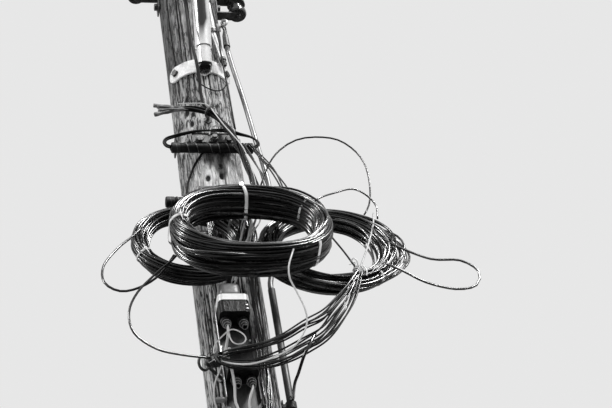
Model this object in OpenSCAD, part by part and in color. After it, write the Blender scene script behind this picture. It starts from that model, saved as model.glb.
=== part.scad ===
// Wooden telephone pole with a street light arm, service spools, strand clamps, coiled drop wire,
// two wiring terminals, a riser guard and a stand-off conduit.
// Millimetres, +Z up. The origin is the centre of the pole at ground level. The grooves of the strand
// clamps run along X, and the street light reaches out over -Y.

/* [Pole] */
// Height of the pole above the ground
pole_height = 8840; // [8600:10:9600]
// Diameter at ground level
butt_d = 295; // [290:1:310]
// Diameter at the top
top_d = 202; // [198:1:206]
// Height of the cut edge around the top
top_edge = 12; // [4:1:30]

/* [Street light] */
// Height of the saddle plate's bolts
saddle_z = 7385; // [7375:1:7395]
// Height of the saddle plate
saddle_h = 70; // [60:1:80]
// Thickness of the saddle plate
saddle_t = 6; // [4:0.5:8]
// Outside diameter of the stub pipe
stub_d = 50; // [46:1:52]
// Outside diameter of the arm pipe
arm_d = 60; // [58:1:66]
// Wall of the pipes
pipe_wall = 3.5; // [3:0.5:4]
// Lean of the arm's foot, from upright
arm_lean = 20; // [16:1:24]
// Radius of the arm's bend
bend_radius = 800; // [700:10:900]
// Straight length between the bend and the lamp head
arm_reach = 640; // [500:10:700]
// Length of the lamp head
head_length = 560; // [500:10:620]
// Width of the lamp head
head_width = 270; // [240:10:300]

/* [Service spools] */
// Height of the right clevis
right_clevis_z = 7840; // [7820:1:7850]
// Height of the left clevis
left_clevis_z = 7932; // [7925:1:7960]
// Clear height between a clevis' arms
clevis_gap = 78; // [76:1:84]
// Distance from the pole's face to a spool's axis
spool_reach = 80; // [70:1:95]
// Diameter of a spool
spool_d = 68; // [60:1:76]
// Height of the service hook
hook_z = 7660; // [7640:1:7680]

/* [Line hardware] */
// Height of the upper strand clamp
upper_clamp_z = 6985; // [6975:1:6995]
// Height of the lower strand clamp
lower_clamp_z = 6725; // [6715:1:6735]
// Length of a strand clamp
clamp_length = 150; // [120:5:180]
// Diameter of the groove that grips a strand
strand_d = 10; // [8:0.5:11]
// Outside diameter of the cable sleeves
sleeve_d = 34; // [30:1:36]

/* [Coils] */
// Width of the front coil
front_coil_w = 521; // [511:1:526]
// Width of the left coil
left_coil_w = 396; // [388:1:400]
// Width of the right coil
right_coil_w = 470; // [462:1:476]

/* [Terminals] */
// Width of the terminals' back plate
plate_w = 108; // [100:1:116]
// Height of the back plate's lower edge
plate_z = 5760; // [5740:5:5780]
// Height of the back plate
plate_h = 490; // [480:5:500]
// Width of a terminal body
terminal_w = 96; // [88:1:100]
// Depth of a terminal body
terminal_deep = 70; // [60:1:75]

/* [Risers] */
// Height of the riser guard's top
guard_top = 5690; // [5400:10:5700]
// Inside width of the riser guard
guard_w = 62; // [56:1:70]
// Outside diameter of the stand-off conduit
conduit_d = 24; // [23:1:26]
// Clear gap between the conduit and the pole
conduit_gap = 20; // [18:1:24]

/* [Hidden] */
$fn = 64;

fit = 0.4;              // gap between fitted pieces
clear = 0.6;            // gap around a bolt in its hole
bolt_d = 16;            // through bolts
washer_w = 50;          // square washers
washer_t = 5;
nut_d = 27;             // nuts and heads, across corners
nut_t = 12;
taper = atan((butt_d - top_d) / 2 / pole_height);

function pole_r(z) = (butt_d + (top_d - butt_d) * z / pole_height) / 2;

conduit_x = conduit_gap + conduit_d / 2;
function conduit_axis(z) = butt_d / 2 + conduit_x - z * tan(taper);

// Routes of flexible cable are points along its middle
function unit(v) = v / norm(v);
function heading(path, i) = unit(path[min(i + 1, len(path) - 1)] - path[max(i - 1, 0)]);
function square_to(v, along) = unit(v - along * (v * along));
function sides_of(path) =
    [for (i = 0, u = square_to([0.31, 0.53, 0.79], heading(path, 0)); i < len(path);
        i = i + 1, u = square_to(u, heading(path, min(i, len(path) - 1)))) u];

// A round cable along a route, with as many flat sides as given
module cable(path, d, sides = 10) {
    across = sides_of(path);
    rings = [for (i = [0:len(path) - 1]) for (j = [0:sides - 1])
        let (u = across[i], v = cross(heading(path, i), u), a = 360 * j / sides)
        path[i] + d / 2 * (u * cos(a) + v * sin(a))];
    n = len(path);
    walls = [for (i = [0:n - 2]) for (j = [0:sides - 1])
        let (k = (j + 1) % sides) [i * sides + j, (i + 1) * sides + j, (i + 1) * sides + k, i * sides + k]];
    ends = [[for (j = [0:sides - 1]) j], [for (j = [sides - 1:-1:0]) (n - 1) * sides + j]];
    polyhedron(points = rings, faces = concat(walls, ends));
}

module hexagon_nut(t = nut_t) { cylinder(h = t, d = nut_d, $fn = 6); }

// Square washer and nut, standing on z = 0
module washer_and_nut() {
    difference() {
        translate([-washer_w / 2, -washer_w / 2, 0]) cube([washer_w, washer_w, washer_t]);
        translate([0, 0, -1]) cylinder(h = washer_t + 2, d = bolt_d - 0.2);
    }
    translate([0, 0, washer_t]) hexagon_nut();
}

// Turned so that z points out from the pole at an angle from -Y, positive towards +X
module outward(z, angle = 0, r = 0) {
    translate([0, 0, z]) rotate([0, 0, angle]) translate([0, -r, 0]) rotate([90, 0, 0]) children();
}

// Turned so that z points out from the pole's axis towards a point
module toward(at, r = 0) { outward(at[2], atan2(at[0], -at[1]), r) children(); }

// Moved to a point, with z turned along a direction
module turned_to(at, direction) {
    translate(at) rotate([0, acos(direction[2]), atan2(direction[1], direction[0])]) children();
}

module bolt_hole(z, angle, depth = 400, d = bolt_d) {
    outward(z, angle, -depth / 2) cylinder(h = depth, d = d + 2 * clear);
}

edge_z = pole_height - top_edge;
module pole_shaft() {
    color([0.45, 0.43, 0.40]) difference() {
        union() {
            cylinder(h = edge_z, d1 = butt_d, d2 = 2 * pole_r(edge_z), $fn = 128);
            translate([0, 0, edge_z])
                cylinder(h = top_edge, r1 = pole_r(edge_z), r2 = top_d / 2 - top_edge, $fn = 128);
        }
        bolt_hole(upper_clamp_z - bolt_drop, 0);
        bolt_hole(lower_clamp_z - bolt_drop, 0);
        bolt_hole(right_clevis_z, 90);
        bolt_hole(left_clevis_z, 90);
        bolt_hole(side_bolt_z, 90);
        bolt_hole(brace_z, 0);
        for (side = [-1, 1])
            outward(saddle_z, side * ear_angle, 60) cylinder(h = 80, d = lag_d + 2 * clear);
        outward(hook_z, hook_angle, 40) cylinder(h = 80, d = hook_rod + 2 * clear);
        for (at = [upper_ring_at, lower_ring_at]) toward(at, 50) cylinder(h = 80, d = shank_d + 2 * clear);
    }
}

// Street light arm
ear_angle = 52;
band_h = saddle_h - 6;              // the plate between its two round ears
lag_d = 14;
saddle_r = pole_r(saddle_z - saddle_h / 2) + fit;
stub_y = -150;                      // axis of the stub at its open mouth
stub_z = 7327;
mouth_cut = 32;                     // slant of the mouth from square
stub_length = 270;
slip_at = 85;                       // where the arm pipe starts, along the stub
straight_up = 250;                  // arm pipe below the bend
arm_top_lean = 82;
stub_axis = [0, -sin(arm_lean), cos(arm_lean)];
slip_point = [0, stub_y, stub_z] + slip_at * stub_axis;
bend_start = slip_point + straight_up * stub_axis;
bend_centre = bend_start + bend_radius * [0, -cos(arm_lean), -sin(arm_lean)];
bend_end = bend_centre + bend_radius * [0, cos(arm_top_lean), sin(arm_top_lean)];
reach_axis = [0, -sin(arm_top_lean), cos(arm_top_lean)];

module along_stub(distance) {
    translate([0, stub_y, stub_z] + distance * stub_axis) rotate([arm_lean, 0, 0]) children();
}

module along_reach(distance) {
    translate(bend_end + distance * reach_axis) rotate([arm_top_lean, 0, 0]) children();
}

module arm_saddle() {
    color([0.80, 0.80, 0.78]) difference() {
        union() {
            intersection() {
                translate([0, 0, saddle_z - saddle_h])
                    cylinder(h = 2 * saddle_h, r = saddle_r + saddle_t, $fn = 128);
                union() {
                    translate([0, 0, saddle_z - band_h / 2]) linear_extrude(height = band_h)
                        polygon([[0, 0], 300 * [-sin(ear_angle), -cos(ear_angle)], [0, -420],
                            300 * [sin(ear_angle), -cos(ear_angle)]]);
                    for (side = [-1, 1]) outward(saddle_z, side * ear_angle) cylinder(h = 200, d = saddle_h);
                }
            }
            for (side = [-1, 1]) saddle_cheek(side);
        }
        translate([0, 0, saddle_z - saddle_h]) cylinder(h = 2 * saddle_h, r = saddle_r, $fn = 128);
        for (side = [-1, 1]) outward(saddle_z, side * ear_angle) cylinder(h = 200, d = lag_d + 2 * clear);
        along_stub(-60) cylinder(h = 400, d = stub_d + 2 * fit);
    }
}

// Upright web between the curved plate and one side of the stub
module saddle_cheek(side) {
    cheek_t = 6;
    translate([side * (stub_d / 2 - 1) - cheek_t / 2, 0, 0]) rotate([90, 0, 90])
        linear_extrude(height = cheek_t) polygon([[-100, saddle_z - 35], [-148, saddle_z - 45],
            [-158, saddle_z - 30], [-172, saddle_z + 14], [-100, saddle_z + 14]]);
}

module arm_saddle_bolts() {
    color([0.35, 0.35, 0.35]) for (side = [-1, 1]) outward(saddle_z, side * ear_angle, 60) {
        cylinder(h = saddle_r + saddle_t - 60 + fit, d = lag_d);
        translate([0, 0, saddle_r + saddle_t - 60 + fit]) hexagon_nut(9);
    }
}

module arm_stub() {
    color([0.78, 0.78, 0.76]) difference() {
        along_stub(-40) cylinder(h = stub_length + 40, d = stub_d);
        along_stub(-60) cylinder(h = 400, d = stub_d - 2 * pipe_wall);
        along_stub(0) rotate([-mouth_cut, 0, 0]) translate([-60, -60, -120]) cube([120, 120, 120]);
    }
}

module arm_tube() {
    color([0.80, 0.80, 0.78]) difference() {
        union() {
            along_stub(slip_at) cylinder(h = straight_up, d = arm_d);
            arm_bend(arm_d);
            along_reach(0) cylinder(h = arm_reach, d = arm_d);
            along_stub(slip_at + straight_up - weld_w / 2) cylinder(h = weld_w, d = arm_d + weld_rise);
            along_reach(-weld_w / 2) cylinder(h = weld_w, d = arm_d + weld_rise);
        }
        along_stub(slip_at - 1) cylinder(h = straight_up + 2, d = arm_bore);
        arm_bend(bend_bore);
        along_reach(-1) cylinder(h = arm_reach + 2, d = arm_bore);
    }
}
arm_bore = stub_d + 2 * fit;
bend_bore = arm_bore - 2;           // the bend's wall is a little thicker
weld_w = 8;
weld_rise = 3;

module arm_bend(d) {
    translate(bend_centre) rotate([90, 0, 90]) rotate([0, 0, arm_lean])
        rotate_extrude(angle = arm_top_lean - arm_lean, $fn = 160)
            translate([bend_radius, 0]) circle(d = d, $fn = 48);
}

// Tie rod from the pole to the arm
brace_z = 8420;
brace_at = 60;
collar_w = 40;
brace_foot = [0, -pole_r(brace_z) - 22, brace_z];
brace_tip = bend_end + brace_at * reach_axis + [0, 0, arm_d / 2 + 24];
brace_run = brace_tip - brace_foot;

module arm_brace() {
    color([0.72, 0.72, 0.70]) {
        difference() {
            union() {
                translate(brace_foot) rotate([-atan2(brace_run[2], -brace_run[1]), 0, 0]) rotate([90, 0, 0])
                    cylinder(h = norm(brace_run), d = 16);
                translate([-20, -pole_r(brace_z - 40) - 6, brace_z - 40]) cube([40, 6, 80]);
                translate([-11, -pole_r(brace_z) - 34, brace_z - 14]) cube([22, 34 - 3, 28]);
                translate(brace_tip) rotate([0, 90, 0]) translate([0, 0, -7]) cylinder(h = 14, d = 32);
            }
            translate(brace_tip) rotate([0, 90, 0]) translate([0, 0, -20]) cylinder(h = 40, d = 10.8);
        }
    }
}

module brace_collar() {
    color([0.60, 0.60, 0.58]) {
        difference() {
            union() {
                along_reach(brace_at - collar_w / 2) cylinder(h = collar_w, d = arm_d + 12);
                for (side = [-1, 1]) translate(brace_tip + [side * 11 - 3, -16, -30]) cube([6, 32, 44]);
            }
            along_reach(brace_at - collar_w) cylinder(h = 2 * collar_w, d = arm_d + 2 * fit);
        }
        translate(brace_tip) rotate([0, 90, 0]) translate([0, 0, -22]) cylinder(h = 44, d = 10);
    }
}

// Lamp head: a long rounded housing with a lens below and a light sensor on top
head_h = 150;
neck_length = 150;

// The head's own frame: z runs outward along the arm, y points up
module in_head() { along_reach(arm_reach) children(); }

module lamp_head() {
    oval = [head_width / head_h, 1, 1];
    color([0.62, 0.63, 0.64]) in_head() difference() {
        union() {
            hull() {
                translate([0, 0, -60]) cylinder(h = 60, d = arm_d + 16, $fn = 32);
                translate([0, 0, neck_length]) scale(oval) sphere(d = head_h, $fn = 32);
                translate([0, 0, head_length - 140]) scale(oval) sphere(d = head_h, $fn = 32);
            }
            translate([0, 0, sensor_at]) rotate([-90, 0, 0]) cylinder(h = seat_top, d = 90);
        }
        translate([-300, -300 - lens_plane, -100]) cube([600, 300, 1000]);
        translate([0, 0, -70]) cylinder(h = 100, d = arm_d + 2 * fit);
    }
}
lens_plane = 30;
sensor_at = 190;
seat_top = 80;

module lamp_lens() {
    color([0.90, 0.92, 0.93]) in_head() translate([0, -lens_plane - fit, 275]) intersection() {
        scale([1, 0.5, 1.5]) sphere(d = 190, $fn = 48);
        translate([-200, -200, -300]) cube([400, 200, 600]);
    }
}

module lamp_sensor() {
    color([0.30, 0.30, 0.32]) in_head() translate([0, seat_top + fit, sensor_at]) rotate([-90, 0, 0]) {
        cylinder(h = 52, d = 78);
        translate([0, 0, 52]) cylinder(h = 14, d1 = 78, d2 = 56);
    }
}

// Service spools: side is +1 on the right and -1 on the left
clevis_t = 5;
clevis_w = 38;
pin_d = 16;
side_bolt_z = 7075;

module on_side(side, z) {
    translate([0, 0, z]) scale_side(side) children();
}
module scale_side(side) {
    if (side > 0) children();
    else mirror([1, 0, 0]) children();
}

module clevis(side, z) {
    face = pole_r(z - clevis_gap / 2 - clevis_t);
    outer = clevis_gap + 2 * clevis_t;
    color([0.22, 0.22, 0.23]) on_side(side, z) difference() {
        union() {
            translate([face, -clevis_w / 2, -outer / 2]) cube([clevis_t, clevis_w, outer]);
            for (end = [-1, 1]) translate([0, 0, end * (clevis_gap + clevis_t) / 2 - clevis_t / 2]) {
                translate([face, -clevis_w / 2, 0]) cube([spool_reach, clevis_w, clevis_t]);
                translate([face + spool_reach, 0, 0]) cylinder(h = clevis_t, d = clevis_w);
            }
        }
        translate([face + spool_reach, 0, -outer]) cylinder(h = 2 * outer, d = pin_d + 1);
        translate([face - 1, 0, 0]) rotate([0, 90, 0]) cylinder(h = 2 * clevis_t, d = bolt_d + 2 * clear);
    }
}

module spool(side, z) {
    face = pole_r(z - clevis_gap / 2 - clevis_t);
    h = clevis_gap - 2 * fit;
    neck = spool_d / 2 - 13;
    color([0.13, 0.10, 0.09]) on_side(side, z) translate([face + spool_reach, 0, -h / 2])
        difference() {
            union() {
                cylinder(h = h, r = spool_d / 2 - 12);
                for (end = [0, 1]) translate([0, 0, end * h]) mirror([0, 0, end]) {
                    cylinder(h = 6, r1 = spool_d / 2 - 3, r2 = spool_d / 2);
                    translate([0, 0, 6]) cylinder(h = 12, r = spool_d / 2);
                    translate([0, 0, 18]) cylinder(h = 9, r1 = spool_d / 2, r2 = neck);
                }
            }
            translate([0, 0, -1]) cylinder(h = h + 2, d = pin_d + 2);
        }
}

module clevis_pin(side, z) {
    face = pole_r(z - clevis_gap / 2 - clevis_t);
    top = clevis_gap / 2 + clevis_t;
    color([0.35, 0.35, 0.36]) on_side(side, z) translate([face + spool_reach, 0, 0]) {
        translate([0, 0, -top - 14]) cylinder(h = 2 * top + 14, d = pin_d);
        translate([0, 0, top]) cylinder(h = 9, d = 30);
        translate([0, 0, -top - 9]) rotate([90, 0, 20]) translate([0, 0, -17]) cylinder(h = 34, d = 4);
    }
}

module right_clevis() { clevis(1, right_clevis_z); }
module right_spool() { spool(1, right_clevis_z); }
module left_clevis() { clevis(-1, left_clevis_z); }
module left_spool() { spool(-1, left_clevis_z); }
module clevis_pins() {
    clevis_pin(1, right_clevis_z);
    clevis_pin(-1, left_clevis_z);
}

// Through bolts along X, with the nut inside the clevis and a square washer on the far side
module clevis_bolts() {
    color([0.40, 0.40, 0.40]) for (row = [[1, right_clevis_z], [-1, left_clevis_z]]) {
        face = pole_r(row[1] - clevis_gap / 2 - clevis_t);
        far = pole_r(row[1] - washer_w / 2);
        on_side(row[0], row[1]) rotate([0, 90, 0]) {
            translate([0, 0, -far - 16]) cylinder(h = face + far + clevis_t + 26, d = bolt_d);
            translate([0, 0, face + clevis_t]) hexagon_nut();
            translate([0, 0, -far]) mirror([0, 0, 1]) washer_and_nut();
        }
    }
}

// Open hook for the service cable, on the right of the pole
hook_angle = 58;
hook_rod = 11;
hook_reach = 24;
hook_bend = 13;

module service_hook() {
    r = pole_r(hook_z);
    color([0.62, 0.62, 0.60]) outward(hook_z, hook_angle, r - 60) {
        cylinder(h = 60 + hook_reach - 2, d = hook_rod);
        translate([0, 0, 60 + hook_reach - 6]) cylinder(h = 10, d = hook_rod + 3);
        translate([0, hook_bend, 60 + hook_reach]) rotate([0, -90, 0]) rotate([0, 0, -88])
            rotate_extrude(angle = 200, $fn = 96) translate([hook_bend, 0]) circle(d = hook_rod, $fn = 48);
        translate([0, 0, 60 + fit]) cylinder(h = 4, d = 34);
    }
}

// Grip that hangs the service cable in the hook: a bail and a tapered body
bail_r = 20;
bail_rod = 6;
grip_d = 25;
grip_z = 7540;                      // where the cable leaves the grip
hook_seat = pole_r(hook_z) + hook_reach - 1;
bail_z = hook_z + (hook_rod + 3) / 2 + 0.3 + bail_rod / 2 - bail_r;

module service_grip() {
    color([0.50, 0.50, 0.49]) {
        outward(bail_z, hook_angle, hook_seat) rotate_extrude($fn = 96)
            translate([bail_r, 0]) circle(d = bail_rod, $fn = 32);
        outward(grip_z, hook_angle, hook_seat) rotate([-90, 0, 0]) {
            cylinder(h = 60, d1 = grip_d, d2 = grip_d - 4);
            translate([0, 0, 60]) cylinder(h = bail_z - bail_r - grip_z - 60, d1 = grip_d - 4, d2 = 10);
        }
    }
}

// Service cable: from its grip it bows out from the pole and drops into the conduit
service_d = 19;
service_route = [[110, -69, 7538.8], [118, -67, 7450], [142, -60, 7260], [164, -50, 7060], [186, -34, 6880],
    [190, -18, 6700], [166, -4, 6530],
    [conduit_axis(6430), 0, 6430], [conduit_axis(6400), 0, 6400], [conduit_axis(6370), 0, 6370]];

module service_cable() {
    color([0.30, 0.30, 0.31]) cable(service_route, service_d);
}

// Feed for the lamp: a thick and a thin pipe down the pole's face, joined by a coupling, with two clips
// and a fitting at each end
feed_d = 24;
feed_thin_d = 19;
feed_top = [46, -112, 8260];
feed_knee = [58, -112, 7560];
feed_foot = [78, -107, 7432];
feed_down = unit(feed_knee - feed_top);
feed_aside = unit(feed_foot - feed_knee);

module feed_conduit() {
    color([0.66, 0.66, 0.65]) {
        turned_to(feed_top, feed_down) cylinder(h = norm(feed_knee - feed_top), d = feed_d);
        turned_to(feed_knee, feed_aside) translate([0, 0, -4])
            cylinder(h = norm(feed_foot - feed_knee) + 4, d = feed_thin_d);
    }
}

// Ring around the thick pipe, with a foot on the pole where it has one
module feed_clip(share, foot = true) {
    at = feed_top + share * (feed_knee - feed_top);
    difference() {
        union() {
            turned_to(at, feed_down) translate([0, 0, -8]) cylinder(h = 16, d = feed_d + 7);
            if (foot) toward(at, pole_r(at[2]) - 6) translate([-28, -6, 0]) cube([56, 12, 10]);
        }
        turned_to(at, feed_down) translate([0, 0, -20]) cylinder(h = 40, d = feed_d + 2 * fit);
        translate([0, 0, at[2] - 20]) cylinder(h = 40, r = pole_r(at[2] - 20), $fn = 128);
    }
}

module feed_fitting(at, direction, d) {
    turned_to(at, direction) {
        cylinder(h = 12, d = d + 5);
        translate([0, 0, 11]) cylinder(h = 27, d = d - 5);
        for (step = [0, 1]) translate([0, 0, 18 + 9 * step]) cylinder(h = 4, d = d);
    }
}

module feed_couplings() {
    color([0.20, 0.20, 0.21]) {
        for (share = [0.3, 0.75]) feed_clip(share);
        feed_clip(0.985, false);
        feed_fitting(feed_top, -feed_down, feed_d);
        feed_fitting(feed_foot, feed_aside, feed_thin_d);
    }
}

// Strand clamps: a grooved bar and a grooved plate, pulled together by the bolt through the pole
clamp_h = 44;
bar_t = 12;
bolt_drop = 9;                      // bolts lie this far under a clamp's middle
groove_rise = 11;
jaw_gap = 0.8;                      // between a clamp's two jaws

module strand_clamp(z) {
    face = pole_r(z - clamp_h / 2);
    groove_z = z + groove_rise;
    color([0.50, 0.50, 0.49]) difference() {
        union() {
            translate([-clamp_length / 2, -face - bar_t, z - clamp_h / 2])
                cube([clamp_length, bar_t, clamp_h]);
            translate([-clamp_length / 2, -face - 2 * bar_t - jaw_gap, z - clamp_h / 2])
                cube([clamp_length, bar_t + jaw_gap, clamp_h]);
        }
        translate([-clamp_length, -face - bar_t - jaw_gap, z - clamp_h])
            cube([2 * clamp_length, jaw_gap, 2 * clamp_h]);
        translate([-clamp_length, -face - bar_t - jaw_gap / 2, groove_z]) rotate([0, 90, 0])
            cylinder(h = 2 * clamp_length, d = strand_d);
        for (x = [-1, 0, 1]) outward(z - bolt_drop, 0) translate([x * clamp_length * 0.33, 0, 0])
            cylinder(h = 300, d = bolt_d + 2 * clear);
    }
}

module clamp_bolt(z) {
    face = pole_r(z - clamp_h / 2);
    front = face + 2 * bar_t + jaw_gap;
    back = pole_r(z - washer_w / 2);
    color([0.42, 0.42, 0.42]) {
        outward(z - bolt_drop, 0, -back - 18) cylinder(h = back + front + 18 + 20, d = bolt_d);
        outward(z - bolt_drop, 0, front) hexagon_nut();
        outward(z - bolt_drop, 180, back) washer_and_nut();
        for (x = [-1, 1]) outward(z - bolt_drop, 0, face + fit) translate([x * clamp_length * 0.33, 0, 0]) {
            cylinder(h = front - face + 6, d = 12);
            translate([0, 0, front - face - fit]) hexagon_nut(10);
        }
    }
}

module upper_clamp() { strand_clamp(upper_clamp_z); }
module upper_clamp_bolt() { clamp_bolt(upper_clamp_z); }
module lower_clamp() { strand_clamp(lower_clamp_z); }
module lower_clamp_bolt() { clamp_bolt(lower_clamp_z); }

// Split sleeves that shield the cables where they pass the pole
upper_sleeve_z = 6940;
lower_sleeve_z = 6676;

module cable_sleeve(x0, x1, z) {
    face = pole_r(z - sleeve_d / 2);
    color([0.10, 0.10, 0.11]) translate([x0, -face - sleeve_d / 2 - fit, z]) rotate([0, 90, 0]) difference() {
        cylinder(h = x1 - x0, d = sleeve_d);
        translate([0, 0, -1]) cylinder(h = x1 - x0 + 2, d = sleeve_d - 8);
    }
}

module upper_cable_sleeve() { cable_sleeve(-150, 130, upper_sleeve_z); }
module lower_cable_sleeve() { cable_sleeve(-192, 300, lower_sleeve_z); }

// Long bolt along X above the upper clamp
module side_bolt() {
    r = pole_r(side_bolt_z - washer_w / 2);
    color([0.38, 0.38, 0.38]) {
        outward(side_bolt_z, 90, -r - 20) cylinder(h = 2 * r + 40 + 10, d = bolt_d);
        for (side = [-1, 1]) outward(side_bolt_z, side * 90, r) washer_and_nut();
    }
}

// Drop wires: a grey sheath on the left, from which a black bundle runs over the pole's face
drop_y = -148;
drop_z = 7116;
sheath_x = -200;
sheath_end = -80;
board_w = 34;
board_t = 13;
board_gap = 18;                     // between the boards' wide ends
bundle_d = 25;
bundle_route = [[-172, drop_y, drop_z], [-100, drop_y, drop_z], [-60, drop_y, drop_z], [-10, -152, 7098],
    [32, -160, 7050], [72, -170, 6970], [98, -176, 6870], [110, -188, 6780], [112, -212, 6690],
    [110, -246, 6590], [108, -262, 6502]];

// Two tapered boards, one over and one under the bundle, that close on it towards the right
module drop_sheath() {
    color([0.42, 0.42, 0.42]) difference() {
        for (side = [-1, 1]) translate([0, drop_y + board_w / 2, drop_z]) rotate([90, 0, 0])
            linear_extrude(height = board_w) polygon([[sheath_x, side * board_gap / 2],
                [sheath_x, side * (board_gap / 2 + board_t)], [sheath_end, side * (bundle_d / 2 + 5)],
                [sheath_end, side * 4]]);
        translate([sheath_x - 10, drop_y, drop_z]) rotate([0, 90, 0])
            cylinder(h = sheath_end - sheath_x + 20, d = bundle_d + 2 * fit);
    }
}

module drop_bundle() { color([0.09, 0.09, 0.10]) cable(bundle_route, bundle_d); }

// Screw ring around a bundle: its shank runs straight out of the pole
ring_rod = 9;
shank_d = 11;
module screw_ring(at, along, bundle) {
    ring_r = bundle / 2 + fit + ring_rod / 2;
    toward(at, 50) cylinder(h = norm([at[0], at[1]]) - ring_r - 50, d = shank_d);
    toward(at, pole_r(at[2] - 14) + fit) cylinder(h = 4, d = 28);
    turned_to(at, along) rotate_extrude($fn = 96) translate([ring_r, 0]) circle(d = ring_rod, $fn = 32);
}
upper_ring_at = bundle_route[3];

module upper_ring() {
    color([0.55, 0.55, 0.55]) screw_ring(upper_ring_at, heading(bundle_route, 3), bundle_d);
}

// Coils: an oval ring of wire hung on edge, its foot leaning out from the pole
// The straight stretches are a little fuller than the bends and reach into them
module coil(place, wide, high, radial, deep, lean) {
    span = wide - high;
    color([0.08, 0.08, 0.09]) translate(place) rotate([-lean, 0, 0]) rotate([90, 0, 0]) {
        for (side = [-1, 1]) translate([side * span / 2, 0, 0]) rotate([0, 0, side > 0 ? -90 : 90])
            rotate_extrude(angle = 180, $fn = 96)
                translate([high / 2 - radial / 2, 0]) coil_section(radial, deep);
        for (side = [-1, 1]) translate([-span / 2 - 2, side * (high / 2 - radial / 2), 0]) rotate([90, 0, 90])
            linear_extrude(height = span + 4) coil_section(radial + 1, deep + 1);
    }
}
module coil_section(radial, deep) {
    for (side = [-1, 1]) translate([0, side * (deep - radial) / 2]) circle(d = radial, $fn = 32);
    if (deep > radial) square([radial, deep - radial], center = true);
}

front_place = [25, -357, 6320];
front_high = 391;
front_radial = 65;
front_deep = 130;
front_lean = 11;
left_place = [-132, -168, 6440];
left_high = 385;
left_radial = 64;
left_deep = 66;
left_lean = 8;
right_place = [292, -245, 6340];
right_high = 425;
right_radial = 76;
right_deep = 76;
right_lean = 10;

module front_coil() { coil(front_place, front_coil_w, front_high, front_radial, front_deep, front_lean); }
module left_coil() { coil(left_place, left_coil_w, left_high, left_radial, left_deep, left_lean); }
module right_coil() { coil(right_place, right_coil_w, right_high, right_radial, right_deep, right_lean); }

// Ties: bands around a coil's wires, at an angle from the middle of its round end on one side
tie_w = 14;
tie_t = 2.5;
module coil_tie(place, wide, high, radial, deep, lean, side, angle) {
    translate(place) rotate([-lean, 0, 0]) rotate([90, 0, 0]) translate([side * (wide - high) / 2, 0, 0])
        rotate([0, 0, side > 0 ? angle : 180 - angle]) translate([high / 2 - radial / 2, 0, 0])
            rotate([90, 0, 0]) translate([0, 0, -tie_w / 2]) difference() {
                tie_form(radial, deep, fit + tie_t, tie_w);
                translate([0, 0, -1]) tie_form(radial, deep, fit, tie_w + 2);
            }
}
module tie_form(radial, deep, grow, h) {
    for (side = [-1, 1]) translate([0, side * (deep - radial) / 2, 0]) cylinder(h = h, d = radial + 2 * grow);
    if (deep > radial) translate([-radial / 2 - grow, -(deep - radial) / 2, 0])
        cube([radial + 2 * grow, deep - radial, h]);
}

module coil_ties() {
    color([0.85, 0.85, 0.83]) {
        for (at = [[-1, 0], [1, 38], [1, -42]]) coil_tie(front_place, front_coil_w, front_high, front_radial,
            front_deep, front_lean, at[0], at[1]);
        coil_tie(right_place, right_coil_w, right_high, right_radial, right_deep, right_lean, 1, -50);
        coil_tie(left_place, left_coil_w, left_high, left_radial, left_deep, left_lean, -1, -20);
    }
}

// Straps: a flat band in the plane x, around the lower cable sleeve and a coil's top
strap_w = 18;
strap_t = 2;
sleeve_axis = [-pole_r(lower_sleeve_z - sleeve_d / 2) - sleeve_d / 2 - fit, lower_sleeve_z];

module strap(x, held, held_r) {
    color([0.80, 0.80, 0.78]) translate([x - strap_w / 2, 0, 0]) rotate([90, 0, 90])
        linear_extrude(height = strap_w) difference() {
            strap_loop(held, held_r, strap_t);
            strap_loop(held, held_r, 0);
        }
}
module strap_loop(held, held_r, grow) {
    hull() {
        translate(sleeve_axis) circle(r = sleeve_d / 2 + fit + grow, $fn = 48);
        translate(held) circle(r = held_r + grow, $fn = 48);
    }
}
// Middle of a coil's top, as [y, z]
function top_of(place, high, radial, lean) =
    let (up = high / 2 - radial / 2) [place[1] + up * sin(lean), place[2] + up * cos(lean)];

front_strap_x = 30;
left_strap_x = -136;
right_strap_x = 288;
module coil_straps() {
    strap(front_strap_x, top_of(front_place, front_high, front_radial, front_lean), front_deep / 2 + 1);
    strap(left_strap_x, top_of(left_place, left_high, left_radial, left_lean), left_deep / 2 + 1);
    strap(right_strap_x, top_of(right_place, right_high, right_radial, right_lean), right_deep / 2 + 1);
}

// Loose bundle from the right coil down to the hook beside the terminals
lower_bundle_d = 34;
lower_bundle_route = [[362, -332, 6188], [312, -325, 6100], [240, -305, 6010], [150, -280, 5945],
    [60, -260, 5915], [-30, -250, 5905], [-95, -213, 5920], [-140, -160, 5945], [-178, -120, 5970]];
lower_ring_at = lower_bundle_route[7];

module lower_bundle() { color([0.09, 0.09, 0.10]) cable(lower_bundle_route, lower_bundle_d); }

module lower_ring() {
    color([0.50, 0.50, 0.50]) screw_ring(lower_ring_at, heading(lower_bundle_route, 7), lower_bundle_d);
}

// Loose loops of wire that have slipped out of the coils
loop_d = 8;
left_loop_route = [[-290, -198.4, 6490], [-324, -210, 6440], [-378, -232, 6366], [-432, -250, 6270],
    [-436, -262, 6188], [-391, -270, 6144], [-330, -276, 6154], [-265, -282, 6202], [-214, -288, 6280]];
low_loop_route = [[-199, -293, 6288], [-224, -296, 6250], [-272, -296, 6201], [-340, -292, 6120],
    [-372, -285, 6043], [-362, -275, 5967], [-298, -262, 5915], [-219, -248, 5902], [-132, -228, 5906]];
right_loop_route = [[456, -281.6, 6372], [505, -293, 6316], [605, -296, 6258], [700, -296, 6252],
    [752, -296, 6204], [733, -296, 6143], [662, -297, 6126], [571, -300, 6152], [505, -304, 6196],
    [456, -306, 6226]];

module left_loops() {
    color([0.08, 0.08, 0.09]) {
        cable(left_loop_route, loop_d, 8);
        cable(low_loop_route, loop_d, 8);
    }
}

module right_loop() { color([0.08, 0.08, 0.09]) cable(right_loop_route, loop_d, 8); }

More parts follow.
